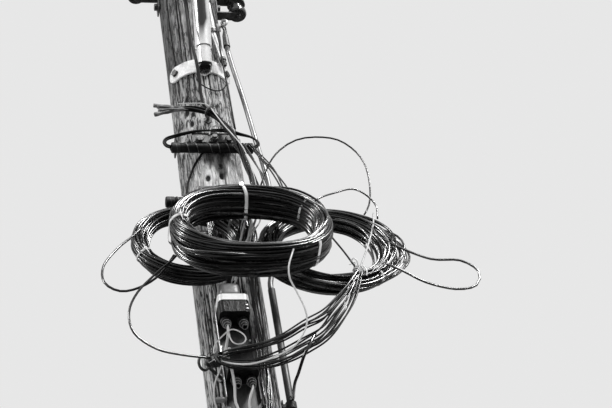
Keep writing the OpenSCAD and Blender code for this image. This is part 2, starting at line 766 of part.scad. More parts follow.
// Terminals on the pole's face
terminal_x = -25;
plate_t = 4;
plate_y = -pole_r(plate_z);
upper_body_z = 6132;
upper_body_h = 70;
lower_body_z = 5892;
lower_body_h = 96;
cap_h = 48;
cap_d = 62;
terminal_band_h = 24;
band_drop = 22;
band_t = 2.2;
corner_r = 14;                      // of a body's front corners
nozzle_tilt = 28;
nozzle_drop = 8 * cos(nozzle_tilt) + 17 * sin(nozzle_tilt) + fit;

// A block with round front corners, grown by some amount on its front and sides
module body_outline(z, h, grow = 0) {
    half = terminal_w / 2 + grow;
    front = terminal_deep + grow;
    r = corner_r + grow;
    translate([terminal_x, plate_y - plate_t, z]) {
        translate([-half, -front + r, 0]) cube([2 * half, front - r, h]);
        translate([-half + r, -front, 0]) cube([2 * (half - r), front, h]);
        for (side = [-1, 1]) translate([side * (half - r), -front + r, 0]) cylinder(h = h, r = r);
    }
}

module terminal_body(z, h) { color([0.10, 0.10, 0.11]) body_outline(z, h); }

module terminal_plate() {
    color([0.16, 0.16, 0.17]) translate([terminal_x - plate_w / 2, plate_y - plate_t, plate_z]) difference() {
        union() {
            cube([plate_w, plate_t, plate_h]);
            for (side = [0, plate_w - 3]) translate([side, -14, 60]) cube([3, 16, plate_h - 80]);
        }
        for (z = [16, plate_h - 10]) translate([plate_w / 2, -1, z]) rotate([-90, 0, 0])
            cylinder(h = 20, d = 9);
    }
}

module upper_terminal() { terminal_body(upper_body_z, upper_body_h); }
module lower_terminal() { terminal_body(lower_body_z, lower_body_h); }

module terminal_cap() {
    y = plate_y - plate_t - terminal_deep + cap_d / 2 + 3;
    color([0.55, 0.55, 0.56]) translate([terminal_x - 4, y, upper_body_z + upper_body_h]) {
        cylinder(h = cap_h - 10, d = cap_d);
        translate([0, 0, cap_h - 10]) cylinder(h = 10, d1 = cap_d, d2 = cap_d - 16);
        translate([0, 0, 16]) cylinder(h = 5, d = cap_d + 4);
    }
}

// Band around the front and sides of the body's top
module terminal_band() {
    z = upper_body_z + upper_body_h - band_drop;
    color([0.90, 0.90, 0.88]) difference() {
        body_outline(z, terminal_band_h, fit + band_t);
        body_outline(z - 1, terminal_band_h + 2, fit);
        translate([terminal_x - terminal_w, plate_y - plate_t - 8, z - 1])
            cube([2 * terminal_w, 20, terminal_band_h + 2]);
    }
}

// Stepped rubber nozzles: each is a row of rings that grow smaller towards the cable
module nozzle(x, z, y) {
    translate([terminal_x + x, y, z]) rotate([180 - nozzle_tilt, 0, 0]) difference() {
        union() {
            translate([0, 0, -8]) cylinder(h = 16, r = 17);
            for (step = [0:3]) translate([0, 0, 8 + step * 9]) {
                cylinder(h = 9, r = 12.5 - step * 2);
                translate([0, 0, 3]) cylinder(h = 4, r = 14.5 - step * 2);
            }
        }
        translate([0, 0, 10]) cylinder(h = 60, d = riser_d + 3 * fit);
    }
}
nozzle_y = plate_y - plate_t - terminal_deep / 2;

module cable_nozzles() {
    color([0.12, 0.12, 0.13]) {
        for (x = [-28, 26]) nozzle(x, upper_body_z - nozzle_drop, nozzle_y);
        for (x = [-22, 24]) nozzle(x, lower_body_z - nozzle_drop, nozzle_y);
    }
}

// Riser guard: a channel with flanges, lying on the pole's face and leaning with its taper
guard_deep = 46;
guard_t = 3;
flange_w = 20;
function seat_y(z, x) = sqrt(pow(pole_r(z), 2) - x * x);

module leaning(angle = 0) {
    rotate([0, 0, angle]) rotate([-taper, 0, 0]) children();
}

module riser_guard() {
    y = seat_y(0, guard_w / 2);
    outer = guard_w / 2 + guard_t;
    color([0.62, 0.62, 0.61]) intersection() {
        leaning() translate([0, -y - fit, 0]) translate([0, 0, -30]) linear_extrude(height = guard_top + 30)
            difference() {
                union() {
                    translate([-outer, -guard_deep + outer * 0.5])
                        square([2 * outer, guard_deep - outer * 0.5]);
                    translate([-outer + 12, -guard_deep]) square([2 * outer - 24, 30]);
                    for (side = [-1, 1]) translate([side * (outer - 12), -guard_deep + 12]) circle(r = 12);
                    translate([-outer, -guard_deep + 12]) square([2 * outer, 20]);
                    translate([-outer - flange_w, -guard_t]) square([2 * (outer + flange_w), guard_t]);
                }
                translate([-guard_w / 2, -guard_deep + 12]) square([guard_w, guard_deep]);
                translate([-guard_w / 2 + 9, -guard_deep + guard_t]) square([guard_w - 18, 30]);
                for (side = [-1, 1]) translate([side * (guard_w / 2 - 9), -guard_deep + 12]) circle(r = 9);
            }
        translate([-500, -500, 0]) cube([1000, 1000, pole_height]);
    }
}

// Screw heads that hold the guard's flanges to the pole
screw_heights = [450, 1500, 2550, 3600, 4650, 5600];
module guard_screws() {
    x = guard_w / 2 + guard_t + flange_w / 2;
    y = -seat_y(0, guard_w / 2) - guard_t - 2 * fit;
    color([0.55, 0.55, 0.54]) for (z = screw_heights) for (side = [-1, 1])
        leaning() translate([side * x, y, z]) rotate([90, 0, 0]) cylinder(h = 6, d = 14);
}

// Cables that leave the nozzles and run down into the guard
riser_d = 8;
upper_riser_route = [[-53, -171, 6088], [-53, -182, 6066], [-54, -199, 6010], [-48, -201, 5880],
    [-34, -188, 5780], [-14, -142, 5690], [-12, -138, 5610]];
lower_riser_route = [[-1, -171, 5848], [-1, -183, 5826], [-1, -190, 5804], [4, -176, 5750], [8, -146, 5696],
    [8, -138, 5610]];
module riser_cables() {
    color([0.66, 0.66, 0.65]) {
        cable(upper_riser_route, riser_d, 8);
        cable(lower_riser_route, riser_d, 8);
    }
}

// Stand-off conduit on the right of the pole, and its clamps
conduit_top = 6400;
clamp_heights = [700, 1900, 3100, 4300, 5300, 5900];

module conduit() {
    color([0.40, 0.40, 0.41]) intersection() {
        leaning(90) translate([0, -butt_d / 2 - conduit_x, -20]) difference() {
            cylinder(h = conduit_top + 20, d = conduit_d);
            translate([0, 0, conduit_top - 60]) cylinder(h = 100, d = service_d + 3 * fit);
        }
        translate([-500, -500, 0]) cube([1000, 1000, pole_height]);
    }
}

module conduit_clamps() {
    color([0.36, 0.36, 0.37]) for (z = clamp_heights) {
        r = pole_r(z - 14);
        translate([0, 0, z]) difference() {
            union() {
                translate([pole_r(z) + conduit_x, 0, -14]) cylinder(h = 28, d = conduit_d + 12);
                translate([r - 4, -7, -7]) cube([conduit_gap, 14, 14]);
                translate([r, -18, -14]) cube([4, 36, 28]);
            }
            translate([pole_r(z) + conduit_x, 0, -40]) cylinder(h = 80, d = conduit_d + 2 * fit);
            translate([0, 0, -40]) cylinder(h = 80, r = r + 0.1);
        }
    }
}

pole_shaft();
arm_saddle();
arm_saddle_bolts();
arm_stub();
arm_tube();
arm_brace();
brace_collar();
lamp_head();
lamp_lens();
lamp_sensor();
right_clevis();
right_spool();
left_clevis();
left_spool();
clevis_pins();
clevis_bolts();
service_hook();
service_grip();
service_cable();
feed_conduit();
feed_couplings();
upper_clamp();
upper_clamp_bolt();
upper_cable_sleeve();
side_bolt();
drop_sheath();
drop_bundle();
upper_ring();
lower_clamp();
lower_clamp_bolt();
lower_cable_sleeve();
front_coil();
left_coil();
right_coil();
coil_ties();
coil_straps();
lower_bundle();
lower_ring();
left_loops();
right_loop();
terminal_plate();
upper_terminal();
terminal_cap();
terminal_band();
lower_terminal();
cable_nozzles();
riser_cables();
riser_guard();
guard_screws();
conduit();
conduit_clamps();
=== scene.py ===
"""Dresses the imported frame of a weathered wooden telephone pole: wood, metal, coils of wire and terminals.

Lengths are in metres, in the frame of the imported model: +Z runs up the pole, the grooves of the strand clamps
run along X, the street light reaches out over -Y, and the origin is the centre of the pole's foot.
"""

import logging
import math
from collections.abc import Iterator
from dataclasses import dataclass
from enum import Enum

import bpy
import numpy as np
from mathutils import Matrix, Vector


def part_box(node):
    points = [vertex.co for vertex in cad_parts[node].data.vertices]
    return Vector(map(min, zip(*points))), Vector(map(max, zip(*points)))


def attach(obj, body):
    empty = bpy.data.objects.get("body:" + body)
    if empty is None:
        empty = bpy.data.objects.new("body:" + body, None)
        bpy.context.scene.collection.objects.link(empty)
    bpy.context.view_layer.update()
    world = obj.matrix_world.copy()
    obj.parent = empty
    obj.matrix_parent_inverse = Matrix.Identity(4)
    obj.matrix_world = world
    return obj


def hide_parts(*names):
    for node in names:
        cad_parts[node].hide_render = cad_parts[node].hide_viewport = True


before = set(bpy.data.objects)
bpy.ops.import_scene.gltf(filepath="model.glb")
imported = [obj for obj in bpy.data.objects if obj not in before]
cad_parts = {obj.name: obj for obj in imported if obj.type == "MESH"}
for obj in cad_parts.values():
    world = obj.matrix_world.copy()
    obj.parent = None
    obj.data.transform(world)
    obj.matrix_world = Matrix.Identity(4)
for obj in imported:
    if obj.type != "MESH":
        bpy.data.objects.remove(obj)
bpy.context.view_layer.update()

LOG = logging.getLogger("pole")
BODY = "root"
MM = 0.001
TURN = 2.0 * math.pi
RIGHT = (1.0, 0.0, 0.0)
UP = (0.0, 0.0, 1.0)
Triple = tuple[float, float, float]
Socket = bpy.types.NodeSocket

# The pole's radius at the ground and how much it loses up to its top, for nails that sit on its face.
BUTT_RADIUS, TAPER, POLE_HEIGHT = 0.1475, 0.0465, 8.84

# What the wood's finish reads at each point of the pole, from 0 to 1.
WEATHER = ("check", "clamp_shadow", "lit_patch", "darkening_and_edge_shade", "pecked")

SEEN_CHECKS = ((-1.02, 6.0, 0.34, 0.0030), (-0.86, 5.90, 0.42, 0.0038), (-0.70, 6.08, 0.26, 0.0028),
               (-0.93, 6.22, 0.18, 0.0026), (0.80, 6.02, 0.34, 0.0034), (1.00, 5.90, 0.40, 0.0038),
               (-0.95, 7.62, 0.40, 0.0030), (-0.62, 7.72, 0.30, 0.0026))

# Place to the right, height and width of the nail holes and gouges that the photo shows.
GOUGES = ((-0.035, 6.820, 0.0085), (0.013, 6.824, 0.0080), (0.016, 6.875, 0.0075), (-0.02, 7.26, 0.007),
          (-0.074, 7.235, 0.0080), (-0.080, 7.170, 0.0100), (-0.058, 7.150, 0.0075), (-0.066, 7.105, 0.0085),
          (-0.030, 7.200, 0.0065), (-0.088, 7.020, 0.0090))

# The slot of each finish that has none of its own.
SLOTS = {"worn_and_sheen_jacket": "black_jacket", "matt_jacket": "black_jacket", "board_grey": "terminal_grey",
         "bright_screw": "galvanised", "saddle_zinc": "galvanised", "conduit_zinc": "galvanised",
         "rim_highlight": "nozzle_rubber", "conduit_paint": "grey_jacket"}

# The CAD nodes that are shown as they are, by finish.
PLAIN_NODES = {
    "saddle_zinc": ("arm_saddle",),
    "arm_metal": ("arm_stub", "arm_tube"),
    "galvanised": ("arm_brace", "brace_collar", "service_hook", "riser_guard"),
    "lamp_paint": ("lamp_head",),
    "clear_lens": ("lamp_lens",),
    "sensor_plastic": ("lamp_sensor",),
    "dark_iron": ("right_clevis", "left_clevis", "feed_couplings", "upper_clamp", "lower_clamp",
                  "terminal_plate", "conduit_clamps"),
    "spool_glaze": ("right_spool", "left_spool"),
    "bolt_steel": ("arm_saddle_bolts", "clevis_pins", "clevis_bolts", "service_grip", "upper_clamp_bolt",
                   "side_bolt", "upper_ring", "lower_clamp_bolt", "lower_ring", "guard_screws"),
    "conduit_zinc": ("feed_conduit",),
    "terminal_black": ("upper_cable_sleeve", "lower_cable_sleeve", "upper_terminal", "lower_terminal"),
    "pale_band": ("terminal_band",),
    "nozzle_rubber": ("cable_nozzles",),
    "conduit_paint": ("conduit",),
}


def millimetres(*points: Triple) -> np.ndarray:
    """Points given in millimetres, as an array in metres."""
    return np.array(points, float) * MM


def grey(value: float) -> tuple[float, float, float, float]:
    """A neutral colour."""
    return (value, value, value, 1.0)


def unit(ways: np.ndarray) -> np.ndarray:
    """The directions, each made one long."""
    return ways / np.linalg.norm(ways, axis=-1, keepdims=True)


def axes(ahead: np.ndarray, other: Triple) -> tuple[np.ndarray, np.ndarray]:
    """Two directions square to the one ahead, the first square to the other one too."""
    side = unit(np.cross(ahead, other))
    return side, unit(np.cross(ahead, side))


def circle(turn: np.ndarray, side: np.ndarray, up: np.ndarray) -> np.ndarray:
    """Points of a circle of radius one at the angles, in the plane of two directions."""
    return np.cos(turn)[:, None] * side + np.sin(turn)[:, None] * up


def wrapped(angle: np.ndarray) -> np.ndarray:
    """Angles brought to within half a turn of zero."""
    return (angle + math.pi) % TURN - math.pi


def bell(off: np.ndarray, width: float, power: int = 2) -> np.ndarray:
    """A bell curve: one in the middle, and flatter on top the higher its power."""
    return np.exp(-(off / width) ** power)


def bow(off: np.ndarray, half: float, power: float) -> np.ndarray:
    """A power of the parabola that is one in the middle and zero at half its length and beyond."""
    return np.clip(1 - (off / half) ** 2, 0, 1) ** power


def share(past: np.ndarray, stretch: float) -> np.ndarray:
    """How much of a stretch is past, from 0 to 1."""
    return np.clip(past / stretch, 0, 1)


class Place(Enum):
    """Where a pattern takes its coordinates from."""

    OBJECT = "Object"
    SURFACE = "UV"


class Graph:
    """A tree of shader nodes, with short calls that add to it."""

    def __init__(self, owner: bpy.types.Material | bpy.types.World, shader: str = "Principled BSDF") -> None:
        """Takes up a tree.

        Args:
            owner: the material or world that has it.
            shader: the name of its shader.
        """
        owner.use_nodes = True
        self.tree = owner.node_tree
        self.shader = self.tree.nodes[shader]

    def feed(self, socket: Socket, value: object) -> None:
        """Sets a socket, or links it where the value is another node's output.

        Args:
            socket: the input to fill.
            value: an output socket or a plain value, which a colour takes as a grey.
        """
        if isinstance(value, Socket):
            self.tree.links.new(value, socket)
        else:
            socket.default_value = grey(value) if socket.type == "RGBA" else value

    def add(self, kind: str, inputs: dict | None = None, **settings: object) -> bpy.types.Node:
        """Adds a node.

        Args:
            kind: the node's type without its ShaderNode prefix.
            inputs: values or sockets by input name or number.
            settings: the node's own properties.

        Returns:
            The new node.
        """
        node = self.tree.nodes.new("ShaderNode" + kind)
        for key, value in settings.items():
            setattr(node, key, value)
        for key, value in (inputs or {}).items():
            self.feed(node.inputs[key], value)
        return node

    def set(self, **inputs: object) -> None:
        """Fills the shader's inputs, with underscores for the spaces in their names.

        Args:
            inputs: values or sockets by input name.
        """
        for key, value in inputs.items():
            self.feed(self.shader.inputs[key.replace("_", " ")], value)

    def noise(self, scale: float | Triple, detail: float = 4.0, rough: float = 0.55, shift: float = 0.0,
              place: Place = Place.OBJECT) -> Socket:
        """Fractal noise.

        Args:
            scale: how many features a metre has, every way or along each axis.
            detail: number of octaves.
            rough: strength of the finer octaves.
            shift: moves the pattern, so that two of one size differ.
            place: the coordinates that it follows.

        Returns:
            The noise, about 0.5 on average.
        """
        where = self.add("TexCoord").outputs[place.value]
        size = scale if isinstance(scale, tuple) else (scale,) * 3
        moved = self.add("Mapping", {"Vector": where, "Location": (shift,) * 3, "Scale": size})
        inputs = {"Vector": moved.outputs[0], "Scale": 1.0, "Detail": detail, "Roughness": rough}
        return self.add("TexNoise", inputs).outputs["Fac"]

    def ramp(self, value: Socket, *stops: tuple[float, float]) -> Socket:
        """Turns a value into a grey by linear stops.

        Args:
            value: the socket to read.
            stops: pairs of position and grey.

        Returns:
            The ramp's colour output.
        """
        node = self.add("ValToRGB", {"Fac": value})
        line = node.color_ramp.elements
        line.remove(line[1])
        for number, (position, tone) in enumerate(stops):
            stop = line.new(position) if number else line[0]
            stop.position = position
            stop.color = grey(tone)
        return node.outputs["Color"]

    def math(self, operation: str, first: object, second: object) -> Socket:
        """The result of one arithmetic step on two values or sockets."""
        return self.add("Math", {0: first, 1: second}, operation=operation).outputs[0]

    def mean(self, *parts: tuple[object, float]) -> Socket:
        """The sum of values, each times its weight."""
        first, *others = (self.math("MULTIPLY", value, weight) for value, weight in parts)
        for other in others:
            first = self.math("ADD", first, other)
        return first

    def blend(self, covered: object, first: object, second: object) -> Socket:
        """Mixes two colours.

        Args:
            covered: how much of the second shows.
            first: a grey or socket.
            second: a grey or socket.

        Returns:
            The mixed colour.
        """
        return self.add("Mix", {0: covered, 6: first, 7: second}, data_type="RGBA").outputs[2]

    def bump(self, height: Socket, depth: float, strength: float,
             under: Socket | None = None) -> Socket:
        """Relief from a height.

        Args:
            height: the height pattern.
            depth: its size in metres.
            strength: how strongly it shows.
            under: a normal to build on.

        Returns:
            The normal.
        """
        inputs = {"Height": height, "Distance": depth, "Strength": strength}
        return self.add("Bump", inputs | ({} if under is None else {"Normal": under})).outputs["Normal"]


@dataclass(frozen=True)
class Finish:
    """A finish, known by its name."""

    name: str

    def material(self) -> bpy.types.Material:
        """Builds the material.

        Returns:
            The material.
        """
        made = bpy.data.materials.new(self.name)
        self.draw(Graph(made))
        return made

    def draw(self, graph: Graph) -> None:
        """Adds the finish's nodes to its material's tree."""
        raise NotImplementedError


@dataclass(frozen=True)
class WeatheredWood(Finish):
    """Grey, cracked wood: pale fibres, short dark flecks, checks, a painted shadow below the clamp, a painted
    pool of light below that and painted shade along the left edge.
    """

    name: str = "weathered_wood"
    pale: float = 0.60
    middle: float = 0.30
    dark: float = 0.085
    crack: float = 0.012
    pecked_tone: float = 0.80
    lit_patch_tone: float = 0.74

    def draw(self, graph: Graph) -> None:
        """Lays the tones over one another from the fibres up, then the reliefs."""
        check, clamp_shadow, lit_patch, darkening_and_edge_shade, pecked = (graph.add("Attribute", attribute_name=name).outputs["Fac"]
                                              for name in WEATHER)
        fibre = graph.noise((330.0, 330.0, 24.0), detail=5.0, rough=0.62)
        grain = graph.noise((105.0, 105.0, 8.0), detail=5.0, rough=0.6, shift=4.0)
        patch = graph.noise((30.0, 30.0, 13.0), rough=0.6, shift=9.0)
        mixed = graph.mean((fibre, 0.40), (grain, 0.32), (patch, 0.28))
        tone = graph.ramp(mixed, (0.385, self.dark), (0.465, self.middle), (0.54, self.pale * 0.82),
                          (0.62, self.pale))
        # Darker high up and beside the terminals, and painted shade along the left edge.
        tone = graph.blend(darkening_and_edge_shade, tone, self.dark * 0.55)
        tone = graph.blend(graph.math("MULTIPLY", pecked, graph.ramp(mixed, (0.47, 0.0), (0.56, 0.6))), tone,
                           self.pecked_tone)
        fleck = graph.noise((125.0, 125.0, 27.0), rough=0.62, shift=7.0)
        worn = graph.math("ADD", fleck, graph.math("MULTIPLY", graph.math("SUBTRACT", patch, 0.5), 0.35))
        worn = graph.math("SUBTRACT", worn, graph.math("MULTIPLY", pecked, 0.055))
        tone = graph.blend(graph.ramp(worn, (0.33, 1.0), (0.39, 0.85), (0.435, 0.0)), tone, self.crack * 1.6)
        thread = graph.noise((70.0, 70.0, 3.6), detail=7.0, shift=2.0)
        away = graph.math("ABSOLUTE", graph.math("SUBTRACT", thread, 0.5), 0.0)
        narrow = graph.math("ADD", away, graph.math("MULTIPLY", pecked, 0.009))
        tone = graph.blend(graph.ramp(narrow, (0.0, 1.0), (0.012, 0.75), (0.026, 0.0)), tone, self.crack)
        # Painted pool of light right of the middle, broken up by the grain.
        tone = graph.blend(graph.math("MULTIPLY", lit_patch, graph.ramp(grain, (0.34, 0.0), (0.44, 1.0))), tone,
                           self.lit_patch_tone)
        tone = graph.blend(graph.ramp(check, (0.12, 0.0), (0.45, 1.0)), tone, self.crack * 0.6)
        # Painted shadow under the upper clamp, near black.
        tone = graph.blend(graph.math("MULTIPLY", clamp_shadow, graph.ramp(patch, (0.3, 1.0), (0.62, 0.7))), tone,
                           self.crack)
        relief = graph.bump(fibre, 0.0020, 0.8)
        relief = graph.bump(graph.ramp(worn, (0.33, 0.0), (0.44, 1.0)), 0.003, 0.8, relief)
        relief = graph.bump(graph.ramp(away, (0.0, 0.0), (0.03, 1.0)), 0.004, 0.8, relief)
        graph.set(Base_Color=tone, Roughness=graph.ramp(fibre, (0.3, 0.95), (0.7, 0.72)), Normal=relief,
                  Specular_IOR_Level=0.25)


@dataclass(frozen=True)
class EndGrain(Finish):
    """The pole's sawn top: growth rings, split from the heart."""

    name: str = "end_grain"
    ring: float = 0.0042
    pale: float = 0.34
    dark: float = 0.10

    def draw(self, graph: Graph) -> None:
        """Adds the rings and their weathering."""
        where = graph.add("TexCoord").outputs["Object"]
        flat = graph.add("Mapping", {"Vector": where, "Scale": (1.0, 1.0, 0.0)})
        wave = {"Vector": flat.outputs[0], "Scale": 1.0 / self.ring / 20.0, "Distortion": 1.5, "Detail": 3.0}
        rings = graph.add("TexWave", wave, wave_type="RINGS", rings_direction="Z").outputs["Fac"]
        weather = graph.ramp(graph.noise(60.0, detail=5.0), (0.4, 0.0), (0.7, 0.6))
        tone = graph.blend(weather, graph.ramp(rings, (0.1, self.dark), (0.7, self.pale)), self.dark * 0.5)
        graph.set(Base_Color=tone, Roughness=0.9, Normal=graph.bump(rings, 0.0015, 0.8))


@dataclass(frozen=True)
class Metal(Finish):
    """A metal that has stood outdoors: mottled, with dirt in runs down it, and rust or wear in spots."""

    pale: float
    dark: float
    metallic: float
    shine: float
    dull: float
    grime: float
    dirty: float
    pitted: float = 0.0004

    def tone(self, graph: Graph, cloud: Socket, speck: Socket) -> Socket:
        """The metal's colour.

        Args:
            graph: its tree.
            cloud: the pattern of the dirt.
            speck: the pattern of the spots.

        Returns:
            The colour.
        """
        spangle = graph.noise((140.0, 140.0, 110.0), detail=3.0, rough=0.5)
        runs = graph.noise((90.0, 90.0, 6.0), detail=5.0, rough=0.6, shift=6.0)
        low = 0.54 - 0.34 * self.dirty
        dirt = graph.math("MULTIPLY", graph.ramp(cloud, (low, 0.0), (low + 0.22, 1.0)),
                          graph.ramp(runs, (0.38, 0.25), (0.62, 1.0)))
        clean = graph.ramp(spangle, (0.35, self.dark), (0.65, self.pale))
        spots = graph.ramp(speck, (0.64, 0.0), (0.72, 0.75 * self.dirty + 0.1))
        return graph.blend(spots, graph.blend(dirt, clean, self.grime), self.grime * 0.7)

    def draw(self, graph: Graph) -> None:
        """Adds the colour, the roughness and the relief."""
        cloud = graph.noise((18.0, 18.0, 7.0), detail=5.0, rough=0.65, shift=3.0)
        speck = graph.noise(420.0, rough=0.7, shift=1.0)
        rough = graph.ramp(graph.mean((cloud, 0.6), (speck, 0.4)), (0.36, self.shine), (0.64, self.dull))
        graph.set(Base_Color=self.tone(graph, cloud, speck), Metallic=self.metallic, Roughness=rough,
                  Normal=graph.bump(speck, self.pitted, 0.7, graph.bump(cloud, 0.0012, 0.35)))


@dataclass(frozen=True)
class PipeMetal(Metal):
    """The arm's smooth bare metal, with a soft dark band of painted reflection that widens from above the joint
    up.
    """

    streak_at: float = -0.013
    streak_wide: float = 0.0065
    leans: float = 0.010
    widens: float = 0.009
    fades_at: float = 7.405
    full_at: float = 7.495
    painted_reflection: float = 0.025
    steep: float = 2.718

    def tone(self, graph: Graph, cloud: Socket, speck: Socket) -> Socket:
        """The metal's colour: the painted dark reflection is a bell curve of the fourth power across the pipe.

        Args:
            graph: its tree.
            cloud: the pattern of the dirt.
            speck: the pattern of the spots.

        Returns:
            The colour.
        """
        where = graph.add("SeparateXYZ", {0: graph.add("TexCoord").outputs["Object"]}).outputs
        ripple = graph.math("SUBTRACT", graph.noise((20.0, 20.0, 9.0), shift=12.0), 0.5)
        rise = graph.ramp(graph.math("SUBTRACT", where["Z"], self.fades_at),
                          (0.0, 0.0), (self.full_at - self.fades_at, 1.0))
        middle = graph.math("ADD", graph.math("MULTIPLY", rise, self.leans), self.streak_at)
        wide = graph.math("ADD", graph.math("MULTIPLY", rise, self.widens), self.streak_wide)
        off = graph.math("ADD", where["X"], graph.math("MULTIPLY", ripple, 0.008))
        off = graph.math("DIVIDE", graph.math("SUBTRACT", off, middle), wide)
        square = graph.math("MULTIPLY", off, off)
        fourth = graph.math("MULTIPLY", square, square)
        curve = graph.math("POWER", self.steep, graph.math("MULTIPLY", fourth, -0.6))
        covered = graph.math("MULTIPLY", graph.math("MULTIPLY", curve, rise), 1.35)
        clean = super().tone(graph, cloud, speck)
        # Lays the painted dark reflection over the clean metal.
        return graph.blend(graph.math("MINIMUM", covered, 0.96), clean, self.painted_reflection)


@dataclass(frozen=True)
class Jacket(Finish):
    """The jacket of a cable or wire: chalked in bands along it, scuffed, with faint drawing lines."""

    dark: float
    chalk: float
    shine: float
    dull: float
    gloss: float = 0.5

    def draw(self, graph: Graph) -> None:
        """Adds patterns that follow the cable's own UV map: around it, and along it in metres."""
        along = graph.noise((8.0, 9.0, 1.0), detail=3.0, place=Place.SURFACE)
        lines = graph.noise((900.0, 6.0, 1.0), detail=3.0, rough=0.5, shift=2.0, place=Place.SURFACE)
        dust = graph.noise((420.0, 38.0, 1.0), rough=0.6, shift=5.0, place=Place.SURFACE)
        tone = graph.blend(graph.ramp(along, (0.48, 0.0), (0.70, 0.55)), self.dark, self.chalk)
        tone = graph.blend(graph.ramp(dust, (0.60, 0.0), (0.80, 0.4)), tone, self.chalk * 0.8)
        rough = graph.ramp(graph.mean((along, 0.7), (dust, 0.3)), (0.38, self.shine), (0.62, self.dull))
        graph.set(Base_Color=tone, Roughness=rough, Normal=graph.bump(lines, 0.0002, 0.4),
                  Specular_IOR_Level=self.gloss)


@dataclass(frozen=True)
class Moulded(Finish):
    """Moulded plastic, rubber or glaze, with a fine grain, dust and faded patches."""

    dark: float
    faded: float
    shine: float
    dull: float
    coat: float = 0.0
    grain: float = 0.0002
    gloss: float = 0.5
    crumple: float = 0.001
    crease: float = 22.0

    def draw(self, graph: Graph) -> None:
        """Adds the faded patches, the dust in runs, and the relief of creases and grain."""
        cloud = graph.noise((self.crease, self.crease, self.crease * 0.64), detail=5.0, rough=0.6)
        grain = graph.noise(900.0, detail=2.0, rough=0.5, shift=4.0)
        runs = graph.noise((110.0, 110.0, 8.0), detail=5.0, rough=0.65, shift=8.0)
        tone = graph.blend(graph.ramp(cloud, (0.42, 0.0), (0.68, 0.8)), self.dark, self.faded)
        tone = graph.blend(graph.ramp(runs, (0.55, 0.0), (0.72, 0.55)), tone, (self.dark + self.faded) * 0.35)
        graph.set(Base_Color=tone, Roughness=graph.ramp(runs, (0.35, self.shine), (0.65, self.dull)),
                  Normal=graph.bump(grain, self.grain, 0.6, graph.bump(cloud, self.crumple, 0.25)),
                  Coat_Weight=self.coat, Specular_IOR_Level=self.gloss)


@dataclass(frozen=True)
class ClearLens(Finish):
    """The lamp's moulded lens: clear, dusty inside and slightly wavy."""

    name: str = "clear_lens"

    def draw(self, graph: Graph) -> None:
        """Adds the dust and the waves."""
        dust = graph.noise(160.0, detail=5.0, shift=3.0)
        graph.set(Base_Color=0.86, Roughness=graph.ramp(dust, (0.4, 0.12), (0.7, 0.4)), IOR=1.49,
                  Normal=graph.bump(graph.noise(45.0, detail=2.0), 0.004, 0.5), Transmission_Weight=0.75)


FINISHES = (
    WeatheredWood(),
    EndGrain(),
    Metal("galvanised", pale=0.60, dark=0.40, metallic=0.45, shine=0.36, dull=0.62, grime=0.10, dirty=0.35),
    Metal("conduit_zinc", pale=0.44, dark=0.27, metallic=0.30, shine=0.42, dull=0.66, grime=0.06, dirty=0.35),
    Metal("saddle_zinc", pale=0.78, dark=0.64, metallic=0.10, shine=0.60, dull=0.85, grime=0.26, dirty=0.14),
    PipeMetal("arm_metal", pale=0.92, dark=0.84, metallic=0.95, shine=0.13, dull=0.26, grime=0.60, dirty=0.0,
              pitted=0.0001),
    Metal("dark_iron", pale=0.024, dark=0.009, metallic=0.30, shine=0.36, dull=0.66, grime=0.05, dirty=0.40,
          pitted=0.0008),
    Metal("bolt_steel", pale=0.085, dark=0.03, metallic=0.45, shine=0.34, dull=0.64, grime=0.02, dirty=0.5,
          pitted=0.0007),
    Metal("bright_screw", pale=0.80, dark=0.60, metallic=0.7, shine=0.25, dull=0.5, grime=0.2, dirty=0.2),
    Metal("lamp_paint", pale=0.46, dark=0.38, metallic=0.0, shine=0.42, dull=0.66, grime=0.22, dirty=0.3,
          pitted=0.0002),
    Moulded("spool_glaze", dark=0.012, faded=0.03, shine=0.10, dull=0.25, coat=0.7, grain=0.0001),
    Moulded("terminal_black", dark=0.004, faded=0.012, shine=0.3, dull=0.55, gloss=0.08, crumple=0.012,
            crease=75.0),
    Moulded("terminal_grey", dark=0.11, faded=0.26, shine=0.30, dull=0.55),
    Moulded("board_grey", dark=0.035, faded=0.30, shine=0.40, dull=0.7),
    Moulded("pale_band", dark=0.84, faded=0.70, shine=0.3, dull=0.5),
    Moulded("tie_white", dark=0.72, faded=0.45, shine=0.34, dull=0.55),
    Moulded("sensor_plastic", dark=0.05, faded=0.12, shine=0.3, dull=0.55),
    Moulded("nozzle_rubber", dark=0.005, faded=0.018, shine=0.36, dull=0.6, gloss=0.25),
    # Pale rings for the nozzles' rib edges: painted highlights.
    Moulded("rim_highlight", dark=0.22, faded=0.50, shine=0.36, dull=0.6),
    Moulded("conduit_paint", dark=0.030, faded=0.085, shine=0.4, dull=0.65, gloss=0.3),
    Jacket("black_jacket", dark=0.0035, chalk=0.012, shine=0.16, dull=0.28),
    # A chalky, worn jacket, made pale enough to stand in for the highlights of lit wires: partly painted sheen.
    Jacket("worn_and_sheen_jacket", dark=0.014, chalk=0.12, shine=0.18, dull=0.32, gloss=0.9),
    Jacket("matt_jacket", dark=0.004, chalk=0.012, shine=0.48, dull=0.7, gloss=0.12),
    Jacket("grey_jacket", dark=0.13, chalk=0.27, shine=0.28, dull=0.5),
    Jacket("light_jacket", dark=0.42, chalk=0.64, shine=0.30, dull=0.55),
    ClearLens(),
)


def grid_faces(rows: int, columns: int) -> np.ndarray:
    """Corner numbers of the faces of a grid of points whose last column joins the first.

    Args:
        rows: points along the first parameter.
        columns: points along the second.

    Returns:
        An array of shape (faces, 4).
    """
    row, column = np.meshgrid(np.arange(rows - 1) * columns, np.arange(columns), indexing="ij")
    beside = (column + 1) % columns
    above = row + columns
    return np.stack([row + column, row + beside, above + beside, above + column], -1).reshape(-1, 4)


